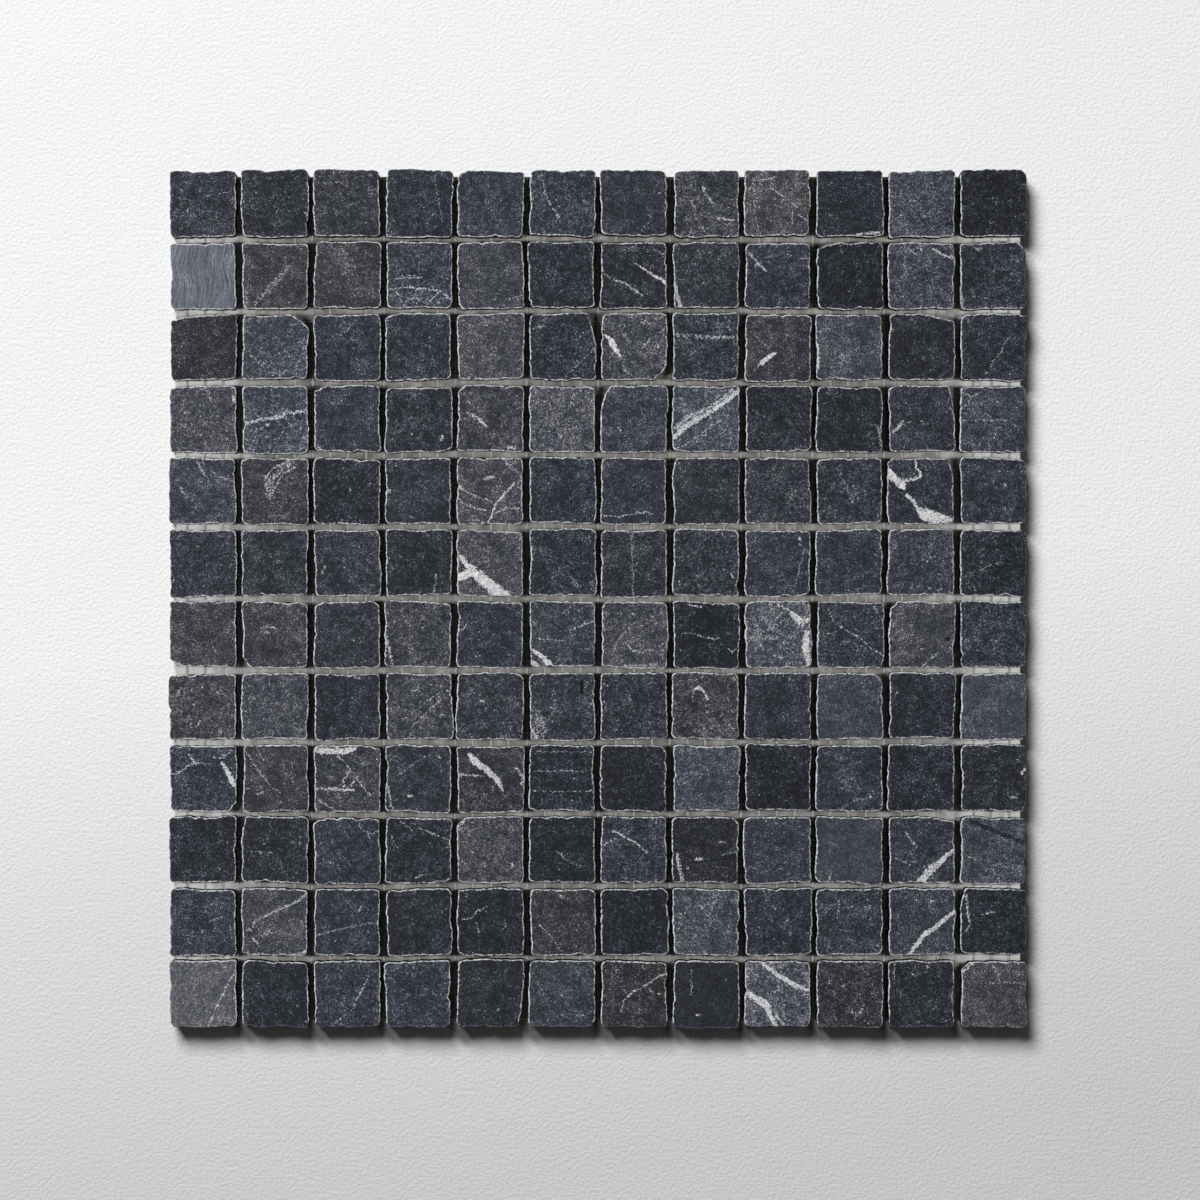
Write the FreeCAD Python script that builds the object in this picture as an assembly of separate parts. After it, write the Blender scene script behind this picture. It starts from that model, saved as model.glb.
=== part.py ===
# Tumbled marble mosaic sheet: square stone chips in even rows, glued to an open glass-fibre net.
# The sheet lies on its back. X runs along a row, Y from the bottom row to the top one, Z up to the stone faces.
# The origin is the centre of the net's underside. Lengths are in millimetres, angles in degrees.
import FreeCAD
import Part

import math
import os
import random

# Layout: row 1 is the top row, column 1 the left one
ROWS = 12
COLUMNS = 12
CHIP_SIDE = 23.5
JOINT = 1.9

# Stone chips: sawn square, then tumbled, which dulls every arris and knocks the corners off
CHIP_THICKNESS = 10.0
FACE_ARRIS = 0.5
BACK_ARRIS = 0.4
CORNER_WEAR_LEAST = 0.8
CORNER_WEAR_MOST = 2.0
WORN_CORNER_SWELL = 0.5
BROKEN_CORNER_SWELL = 0.15

# Hand setting: how much of the joint a chip's place, its corners and its turn may each take up
PLACE_SHARE = 0.13
CORNER_SHARE = 0.16
TURN_SHARE = 0.09
SETTING_SEED = 41

# Glass-fibre net: flat threads up the sheet, with flat threads across the sheet laid over them
THREADS_PER_CHIP = 4
THREAD_WIDTH = 0.95
THREAD_THICKNESS = 0.25
NET_INSET = 1.7
NET_PANELS_ACROSS = 2
NET_PANELS_UP = 3

# Chips that lost corners: (row, column) to (corner, run along the row, run up the sheet) for each one
LOWER_LEFT, LOWER_RIGHT, UPPER_RIGHT, UPPER_LEFT = range(4)
BROKEN_CORNERS = {
    (1, 5): [(UPPER_LEFT, 3.7, 2.0)],
    (1, 12): [(UPPER_RIGHT, 2.0, 2.2)],
    (2, 10): [(UPPER_LEFT, 7.5, 2.0)],
    (2, 12): [(UPPER_RIGHT, 3.5, 4.5)],
    (3, 1): [(UPPER_LEFT, 11.0, 2.0)],
    (3, 2): [(UPPER_RIGHT, 6.2, 5.0)],
    (3, 4): [(UPPER_LEFT, 6.0, 1.5)],
    (3, 6): [(UPPER_RIGHT, 3.0, 11.0)],
    (3, 7): [(LOWER_RIGHT, 4.6, 5.2)],
    (3, 11): [(UPPER_RIGHT, 14.0, 2.2)],
    (4, 3): [(UPPER_LEFT, 4.5, 1.5)],
    (4, 4): [(LOWER_RIGHT, 5.0, 1.2)],
    (4, 5): [(UPPER_LEFT, 3.0, 2.0)],
    (4, 7): [(UPPER_LEFT, 3.2, 7.0)],
    (4, 9): [(LOWER_RIGHT, 8.0, 1.0)],
    (4, 11): [(UPPER_RIGHT, 2.0, 12.0)],
    (5, 8): [(UPPER_LEFT, 1.5, 7.0)],
    (5, 11): [(UPPER_RIGHT, 1.5, 9.0)],
    (6, 6): [(UPPER_RIGHT, 2.5, 1.5)],
    (6, 9): [(LOWER_RIGHT, 3.0, 2.0)],
    (7, 1): [(LOWER_LEFT, 5.0, 2.5)],
    (7, 2): [(LOWER_LEFT, 3.5, 3.5)],
    (7, 3): [(UPPER_LEFT, 3.0, 1.5), (UPPER_RIGHT, 3.0, 1.5)],
    (7, 11): [(UPPER_LEFT, 2.5, 3.0)],
    (8, 10): [(UPPER_RIGHT, 2.0, 3.0)],
    (9, 1): [(LOWER_RIGHT, 2.5, 3.0)],
    (9, 7): [(UPPER_RIGHT, 2.0, 2.0)],
    (10, 2): [(UPPER_LEFT, 1.0, 5.0)],
    (10, 3): [(UPPER_LEFT, 5.5, 1.8)],
    (10, 4): [(LOWER_RIGHT, 7.0, 2.2)],
    (10, 5): [(UPPER_LEFT, 3.5, 3.5)],
    (10, 8): [(UPPER_RIGHT, 3.0, 2.0)],
    (10, 11): [(UPPER_RIGHT, 14.0, 2.0)],
    (11, 12): [(UPPER_LEFT, 1.5, 8.0)],
    (12, 5): [(LOWER_RIGHT, 1.5, 12.0)],
    (12, 12): [(UPPER_LEFT, 3.3, 3.0)],
}

# Chips sawn out of square: (row, column) to the corners that stand out, and how far up the sheet they do
LONG_CORNERS = {
    (1, 4): [(UPPER_LEFT, 1.0)],
    (1, 6): [(UPPER_RIGHT, 0.5)],
}

PITCH = CHIP_SIDE + JOINT
SHEET_WIDTH = COLUMNS * PITCH - JOINT
SHEET_HEIGHT = ROWS * PITCH - JOINT
THREAD_SPACING = PITCH / THREADS_PER_CHIP
NET_THICKNESS = 2 * THREAD_THICKNESS


def square_corners(draw, row, column):
    """The four corners of a chip about its own centre, each a little off the true square."""
    half = CHIP_SIDE / 2
    wander = CORNER_SHARE * JOINT
    signs = ((-1, -1), (1, -1), (1, 1), (-1, 1))
    corners = [
        FreeCAD.Vector(
            sx * half + draw.uniform(-wander, wander),
            sy * half + draw.uniform(-wander, wander),
            0,
        )
        for sx, sy in signs
    ]
    for corner, up in LONG_CORNERS.get((row, column), []):
        corners[corner].y += up
    return corners


def corner_runs(draw, row, column):
    """How far each corner is worn back along its incoming and its outgoing side, and how far it still swells."""
    runs = []
    for _ in range(4):
        into = draw.uniform(CORNER_WEAR_LEAST, CORNER_WEAR_MOST)
        out = draw.uniform(CORNER_WEAR_LEAST, CORNER_WEAR_MOST)
        runs.append((into, out, WORN_CORNER_SWELL))
    for corner, along, up in BROKEN_CORNERS.get((row, column), []):
        comes_in_upright = corner in (LOWER_LEFT, UPPER_RIGHT)
        into, out = (up, along) if comes_in_upright else (along, up)
        runs[corner] = (into, out, BROKEN_CORNER_SWELL)
    return runs


def worn_outline(corners, runs):
    """A closed outline with three points round each corner: where the wear starts, its swell and where it ends."""
    points = []
    for k, corner in enumerate(corners):
        into, out, swell = runs[k]
        to_last = (corners[k - 1] - corner).normalize()
        to_next = (corners[(k + 1) % 4] - corner).normalize()
        start = corner + to_last * into
        end = corner + to_next * out
        chord_middle = (start + end) * 0.5
        points += [start, chord_middle + (corner - chord_middle) * swell, end]
    return points


def drawn_in(points, inset):
    """The outline with every side moved inwards by the same distance and its corners found again."""
    count = len(points)
    along = [(points[(k + 1) % count] - points[k]).normalize() for k in range(count)]
    moved = []
    for k, point in enumerate(points):
        inward_last = FreeCAD.Vector(-along[k - 1].y, along[k - 1].x, 0)
        inward_next = FreeCAD.Vector(-along[k].y, along[k].x, 0)
        bisector = inward_last + inward_next
        moved.append(point + bisector * (inset / bisector.dot(inward_next)))
    return moved


def section(points, height):
    """The outline at one height, as a closed run of points."""
    raised = [point + FreeCAD.Vector(0, 0, height) for point in points]
    return raised + raised[:1]


def stone_chip(draw, row, column):
    """One chip: a worn outline with straight sawn sides and dulled arrises, with its own place and turn."""
    outline = worn_outline(square_corners(draw, row, column), corner_runs(draw, row, column))
    sections = [
        section(drawn_in(outline, BACK_ARRIS), 0),
        section(outline, BACK_ARRIS),
        section(outline, CHIP_THICKNESS - FACE_ARRIS),
        section(drawn_in(outline, FACE_ARRIS), CHIP_THICKNESS),
    ]
    faces = [Part.Face(Part.makePolygon(end)) for end in (sections[0], sections[-1])]
    for low, high in zip(sections, sections[1:]):
        for k in range(len(outline)):
            corners = [low[k], low[k + 1], high[k + 1], high[k], low[k]]
            faces.append(Part.Face(Part.makePolygon(corners)))
    shell = Part.makeShell(faces)
    shell.sewShape()
    chip = Part.makeSolid(shell)
    place_wander = PLACE_SHARE * JOINT
    turn_wander = math.degrees(TURN_SHARE * JOINT / (CHIP_SIDE / 2))
    x = (column - (COLUMNS + 1) / 2) * PITCH + draw.uniform(-place_wander, place_wander)
    y = ((ROWS + 1) / 2 - row) * PITCH + draw.uniform(-place_wander, place_wander)
    turn = draw.uniform(-turn_wander, turn_wander)
    chip.rotate(FreeCAD.Vector(0, 0, 0), FreeCAD.Vector(0, 0, 1), turn)
    chip.translate(FreeCAD.Vector(x, y, NET_THICKNESS))
    return chip


def thread_places(count):
    """Middle lines of a number of threads, evenly spaced about the net's centre."""
    return [(k - (count - 1) / 2) * THREAD_SPACING for k in range(count)]


def groups(places, count, net_length):
    """Splits threads into neighbouring groups: each with its threads and the span of net that it fills."""
    shares = [round(k * len(places) / count) for k in range(count + 1)]
    cuts = [-net_length / 2]
    cuts += [(places[s - 1] + places[s]) / 2 for s in shares[1:-1]]
    cuts += [net_length / 2]
    return [
        (places[shares[k] : shares[k + 1]], cuts[k], cuts[k + 1]) for k in range(count)
    ]


def net_panel(upright_group, cross_group):
    """One panel of the net: upright threads below, cross threads above, fused where they cross."""
    uprights, left, right = upright_group
    crosses, low, high = cross_group
    threads = []
    for x in uprights:
        corner = FreeCAD.Vector(x - THREAD_WIDTH / 2, low, 0)
        threads.append(Part.makeBox(THREAD_WIDTH, high - low, THREAD_THICKNESS, corner))
    for y in crosses:
        corner = FreeCAD.Vector(left, y - THREAD_WIDTH / 2, THREAD_THICKNESS)
        threads.append(Part.makeBox(right - left, THREAD_WIDTH, THREAD_THICKNESS, corner))
    return threads[0].multiFuse(threads[1:])


def save(shape, node):
    shape.exportStep(f"parts/{node}.step")


os.makedirs("parts", exist_ok=True)

setting = random.Random(SETTING_SEED)
for row in range(1, ROWS + 1):
    chips = [stone_chip(setting, row, column) for column in range(1, COLUMNS + 1)]
    save(Part.makeCompound(chips), f"tile_row_{row:02d}")

net_width = SHEET_WIDTH - 2 * NET_INSET
net_height = SHEET_HEIGHT - 2 * NET_INSET
upright_places = thread_places(COLUMNS * THREADS_PER_CHIP - 1)
cross_places = thread_places(ROWS * THREADS_PER_CHIP)
upright_groups = groups(upright_places, NET_PANELS_ACROSS, net_width)
cross_groups = groups(cross_places, NET_PANELS_UP, net_height)
panel = 0
for cross_group in reversed(cross_groups):
    for upright_group in upright_groups:
        panel += 1
        save(net_panel(upright_group, cross_group), f"net_panel_{panel}")
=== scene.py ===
"""Tumbled marble mosaic sheet: 144 stone chips in even rows, held by a resin-coated glass-fibre net."""

import bpy
import numpy as np
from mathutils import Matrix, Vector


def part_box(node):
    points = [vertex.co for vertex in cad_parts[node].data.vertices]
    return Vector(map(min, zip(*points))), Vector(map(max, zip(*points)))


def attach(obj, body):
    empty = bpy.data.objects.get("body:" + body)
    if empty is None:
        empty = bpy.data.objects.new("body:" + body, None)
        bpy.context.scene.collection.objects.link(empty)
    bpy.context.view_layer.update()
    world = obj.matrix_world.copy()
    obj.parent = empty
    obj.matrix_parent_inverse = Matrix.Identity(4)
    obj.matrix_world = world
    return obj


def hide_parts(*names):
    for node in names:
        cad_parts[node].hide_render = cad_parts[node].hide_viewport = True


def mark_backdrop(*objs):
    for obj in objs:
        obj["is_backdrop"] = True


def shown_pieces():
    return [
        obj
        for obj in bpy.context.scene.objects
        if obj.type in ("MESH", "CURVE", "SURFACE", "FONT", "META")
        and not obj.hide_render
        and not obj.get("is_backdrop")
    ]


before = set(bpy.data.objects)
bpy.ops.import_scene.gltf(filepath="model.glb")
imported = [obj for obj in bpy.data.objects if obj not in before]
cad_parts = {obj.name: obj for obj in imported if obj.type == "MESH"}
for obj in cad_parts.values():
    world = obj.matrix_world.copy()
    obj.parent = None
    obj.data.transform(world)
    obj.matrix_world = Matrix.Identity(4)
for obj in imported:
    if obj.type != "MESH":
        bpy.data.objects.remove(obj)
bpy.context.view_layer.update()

# The net. Glass-fibre yarns are woven in leno: each thread up the sheet is a pair of yarns that twist round
# each other, one over and one under every flat thread that crosses the sheet. A resin coat then bonds the
# crossings and stiffens the net, and it is glued to the backs of the chips.
MM = 0.001
THREAD_SPACING = 6.35
NET_THICKNESS = 0.5
YARN_WIDTH = 0.5
YARN_THICKNESS = 0.15
YARN_SIDESTEP = 0.24
YARN_RISE = 0.165
CROSS_THREAD_WIDTH = 0.95
CROSS_THREAD_THICKNESS = 0.16
YARN_SIDES = 6
RINGS_PER_CELL = 3
NET_SEED = 7

net_nodes = sorted(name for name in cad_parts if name.startswith("net_panel"))
panel_corners = np.array([list(corner) for name in net_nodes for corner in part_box(name)]) / MM
net_low, net_high = panel_corners.min(0), panel_corners.max(0)


def linear(hex_colour):
    """An sRGB hex value as linear red, green, blue and a full alpha."""
    channels = np.array([int(hex_colour[k : k + 2], 16) for k in (1, 3, 5)]) / 255
    bent = np.where(channels <= 0.04045, channels / 12.92, ((channels + 0.055) / 1.055) ** 2.4)
    return (*bent, 1.0)


def add_node(tree, kind, inputs=None, **settings):
    """Adds a node with its settings. An input takes a value, a socket, or another node's first output."""
    node = tree.nodes.new("ShaderNode" + kind)
    for name, value in settings.items():
        setattr(node, name, value)
    for key, value in (inputs or {}).items():
        if isinstance(value, bpy.types.Node):
            value = value.outputs[0]
        if isinstance(value, bpy.types.NodeSocket):
            tree.links.new(value, node.inputs[key])
        else:
            node.inputs[key].default_value = value
    return node


def closed_mesh(name, points, quads, triangles):
    """A smooth-shaded mesh from points in millimetres and from whole arrays of four-sided and three-sided faces."""
    mesh = bpy.data.meshes.new(name)
    mesh.vertices.add(len(points))
    mesh.vertices.foreach_set("co", (points * MM).astype(np.float32).ravel())
    corners = np.concatenate([quads.ravel(), triangles.ravel()]).astype(np.int32)
    mesh.loops.add(len(corners))
    mesh.loops.foreach_set("vertex_index", corners)
    totals = np.concatenate([np.full(len(quads), 4), np.full(len(triangles), 3)])
    mesh.polygons.add(len(totals))
    mesh.polygons.foreach_set("loop_start", (np.cumsum(totals) - totals).astype(np.int32))
    mesh.update(calc_edges=True)
    mesh.polygons.foreach_set("use_smooth", np.ones(len(totals), dtype=bool))
    piece = bpy.data.objects.new(name, mesh)
    bpy.context.scene.collection.objects.link(piece)
    return piece


def give(piece, name, values):
    """Stores one vector for each point of a piece under a name that its material reads."""
    attribute = piece.data.attributes.new(name, "FLOAT_VECTOR", "POINT")
    attribute.data.foreach_set("vector", np.ascontiguousarray(values, dtype=np.float32).ravel())


def yarn_tubes(paths, lateral, width, thickness):
    """Flattened tubes along straight-running yarns. A point at angle a of a ring is the path's point, plus half
    the width times cos a along the lateral axis, plus half the thickness times sin a upwards. Six sides need
    two four-sided faces to close each end."""
    yarns, rings, _ = paths.shape
    angle = 2 * np.pi * np.arange(YARN_SIDES) / YARN_SIDES
    across = np.cos(angle)[:, None] * lateral * (width / 2)
    upward = np.sin(angle)[:, None] * np.array([0, 0, 1]) * (thickness / 2)
    points = (paths[:, :, None, :] + across + upward).reshape(-1, 3)
    first = (np.arange(yarns * rings) * YARN_SIDES).reshape(yarns, rings)
    here = first[:, :-1, None] + np.arange(YARN_SIDES)
    beside = first[:, :-1, None] + (np.arange(YARN_SIDES) + 1) % YARN_SIDES
    walls = np.stack([here, beside, beside + YARN_SIDES, here + YARN_SIDES], -1).reshape(-1, 4)
    start, end = first[:, 0, None], first[:, -1, None]
    caps = [start + [0, 3, 2, 1], start + [0, 5, 4, 3], end + [0, 1, 2, 3], end + [0, 3, 4, 5]]
    if np.cross(lateral, [0, 0, 1]) @ (paths[0, -1] - paths[0, 0]) < 0:
        walls = walls[:, ::-1]
        caps = [cap[:, ::-1] for cap in caps]
    along = np.repeat(np.linalg.norm(paths - paths[:, :1], axis=2).ravel(), YARN_SIDES)
    around = np.tile(angle / (2 * np.pi), yarns * rings)
    which = np.repeat(np.arange(yarns), rings * YARN_SIDES)
    return points, np.concatenate([walls, *caps]), np.stack([around, along, which], -1)


def thread_lines(low, high, offset):
    """Middle lines of the threads, evenly spaced about the net's centre and clear of its edges."""
    places = (np.arange(-60, 61) + offset) * THREAD_SPACING + (low + high) / 2
    return places[(places > low + 0.4) & (places < high - 0.4)]


net_draw = np.random.default_rng(NET_SEED)
upright_lines = thread_lines(net_low[0], net_high[0], 0)
cross_lines = thread_lines(net_low[1], net_high[1], 0.5)

# Upright pairs: x is the thread's line plus and minus the sidestep times cos t, z is the net's middle plus and
# minus the rise times sin t, and t grows by half a turn from one cross thread to the next
ring_count = RINGS_PER_CELL * len(cross_lines) + 1
run = np.linspace(net_low[1], net_high[1], ring_count)
twist = np.pi * ((run - cross_lines[0]) / THREAD_SPACING + 0.5)
sway = net_draw.normal(0, 0.12, len(upright_lines))[:, None] * np.sin(
    run / 47 + net_draw.uniform(0, 6.28, len(upright_lines))[:, None]
)
pair_paths = []
for side in (1, -1):
    x = upright_lines[:, None] + sway + side * YARN_SIDESTEP * np.cos(twist)
    y = np.broadcast_to(run, x.shape)
    z = np.broadcast_to(NET_THICKNESS / 2 + side * YARN_RISE * np.sin(twist), x.shape)
    pair_paths.append(np.stack([x, y, z], -1))
upright = yarn_tubes(np.concatenate(pair_paths), np.array([1, 0, 0]), YARN_WIDTH, YARN_THICKNESS)

# Cross threads: straight and flat at mid height, with a slight wander up and down the sheet
cross_run = np.linspace(net_low[0], net_high[0], len(upright_lines))
wander = net_draw.normal(0, 0.12, len(cross_lines))[:, None] * np.sin(
    cross_run / 39 + net_draw.uniform(0, 6.28, len(cross_lines))[:, None]
)
y = cross_lines[:, None] + wander
x = np.broadcast_to(cross_run, y.shape)
cross_paths = np.stack([x, y, np.full(y.shape, NET_THICKNESS / 2)], -1)
cross = yarn_tubes(cross_paths, np.array([0, 1, 0]), CROSS_THREAD_WIDTH, CROSS_THREAD_THICKNESS)

net = closed_mesh(
    "net",
    np.concatenate([upright[0], cross[0]]),
    np.concatenate([upright[1], cross[1] + len(upright[0])]),
    np.empty((0, 3), dtype=int),
)
give(net, "yarn", np.concatenate([upright[2], cross[2]]))

# Resin-coated E-glass yarn: pale beige and a little milky, with fine filaments that run along the yarn and
# thicker, glossier spots of resin
FILAMENTS_ROUND = 14
glass_yarn = bpy.data.materials.new("resin_coated_glass_yarn")
glass_yarn.use_nodes = True
tree = glass_yarn.node_tree
shader = tree.nodes["Principled BSDF"]
yarn_place = add_node(tree, "Attribute", attribute_name="yarn", attribute_type="GEOMETRY")
filaments = add_node(tree, "VectorMath", {0: yarn_place.outputs["Vector"], 1: (FILAMENTS_ROUND, 0.25, 3.7)},
                     operation="MULTIPLY")
strands = add_node(tree, "TexNoise", {"Vector": filaments, "Scale": 1.0, "Detail": 2.0, "Roughness": 0.6})
object_place = add_node(tree, "TexCoord").outputs["Object"]
resin = add_node(tree, "TexNoise", {"Vector": object_place, "Scale": 420.0, "Detail": 2.0})
yarn_tint = add_node(tree, "ValToRGB", {"Fac": strands})
yarn_tint.color_ramp.elements[0].position = 0.3
yarn_tint.color_ramp.elements[0].color = linear("#aaa498")
yarn_tint.color_ramp.elements[1].position = 0.68
yarn_tint.color_ramp.elements[1].color = linear("#e4e0d6")
tree.links.new(yarn_tint.outputs[0], shader.inputs["Base Color"])
gloss = add_node(tree, "MapRange", {"Value": resin, "From Min": 0.35, "From Max": 0.65,
                                    "To Min": 0.55, "To Max": 0.3})
tree.links.new(gloss.outputs[0], shader.inputs["Roughness"])
yarn_bump = add_node(tree, "Bump", {"Height": strands, "Distance": 0.00004, "Strength": 0.6})
tree.links.new(yarn_bump.outputs[0], shader.inputs["Normal"])
shader.inputs["IOR"].default_value = 1.5
net.data.materials.append(glass_yarn)
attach(net, "root")
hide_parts(*net_nodes)

# The stone chips. Each is sawn square from a slab of dark limestone marble and tumbled with grit and water,
# which dulls the arrises, bruises them pale and knocks corners off. The chips are set in rows on the net by
# a jig and glued by their backs, and each row is one piece here.
ROWS = 12
COLUMNS = 12
PITCH = 25.4
CHIP_SEED = 23
ROUND_POINTS = 160
CHIP_BACK = 0.5
CHIP_FACE = 10.5
CORNER_SOFTNESS = 0.4
EDGE_WANDER = 0.17
EDGE_WANDER_REACH = 2.8
EDGE_CRUMBLE = 0.1
EDGE_CRUMBLE_REACH = 0.5
ARRIS_RADIUS = 0.4
BACK_RINGS = 3
PILLOW = 0.12

# Chips that stand out by their tone, as (row, column) with row 1 at the top and column 1 at the left
HONED = (2, 1)
PALE = [(12, 1), (7, 9), (4, 6), (12, 9)]
PALISH = [(4, 8), (11, 2), (8, 12), (1, 11), (3, 7), (3, 2), (6, 5), (11, 8), (1, 9), (8, 2), (9, 8), (4, 1),
          (7, 7), (4, 2), (3, 5), (7, 11), (10, 5), (2, 11), (10, 12), (12, 12), (5, 5), (3, 10)]
GREYISH = [(9, 3), (4, 5), (2, 2), (2, 4), (7, 2), (2, 3), (8, 8), (11, 11), (8, 4), (4, 7), (1, 8), (8, 10),
           (6, 11), (7, 1), (10, 10), (5, 1), (7, 6), (8, 1), (3, 9), (12, 6), (7, 4), (2, 5), (4, 12)]
PLAIN = [(12, 10), (6, 10), (8, 6), (12, 4), (4, 3), (11, 10), (6, 9), (10, 11), (5, 9), (9, 10), (7, 12), (9, 5),
         (12, 3), (8, 5), (1, 5), (10, 9)]
DARKISH = [(11, 4), (10, 1), (6, 4), (8, 3), (4, 10), (10, 2), (8, 11), (11, 12), (12, 11), (9, 12), (9, 6),
           (10, 8), (12, 2), (1, 10), (9, 11), (6, 12), (10, 4), (2, 7), (4, 9), (12, 5), (5, 3)]
DARK = [(9, 9), (10, 6), (11, 7), (12, 8), (1, 12), (2, 10), (9, 7), (11, 5), (7, 8)]
WARM = [(12, 1), (12, 10), (12, 12), (2, 3), (2, 2), (3, 5), (3, 9), (5, 2), (7, 1), (7, 11), (8, 8), (11, 2),
        (11, 6), (10, 5), (1, 9), (8, 1), (9, 2), (3, 1), (12, 7)]
WARMISH = [(2, 5), (4, 6), (1, 8), (1, 3), (3, 7), (9, 3), (4, 1), (8, 2), (7, 7), (6, 5), (4, 5), (8, 4), (7, 2),
           (7, 4), (9, 5), (5, 5)]
SMOOTH = [(2, 1), (8, 10), (10, 10), (8, 12), (12, 8), (12, 1)]

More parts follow.
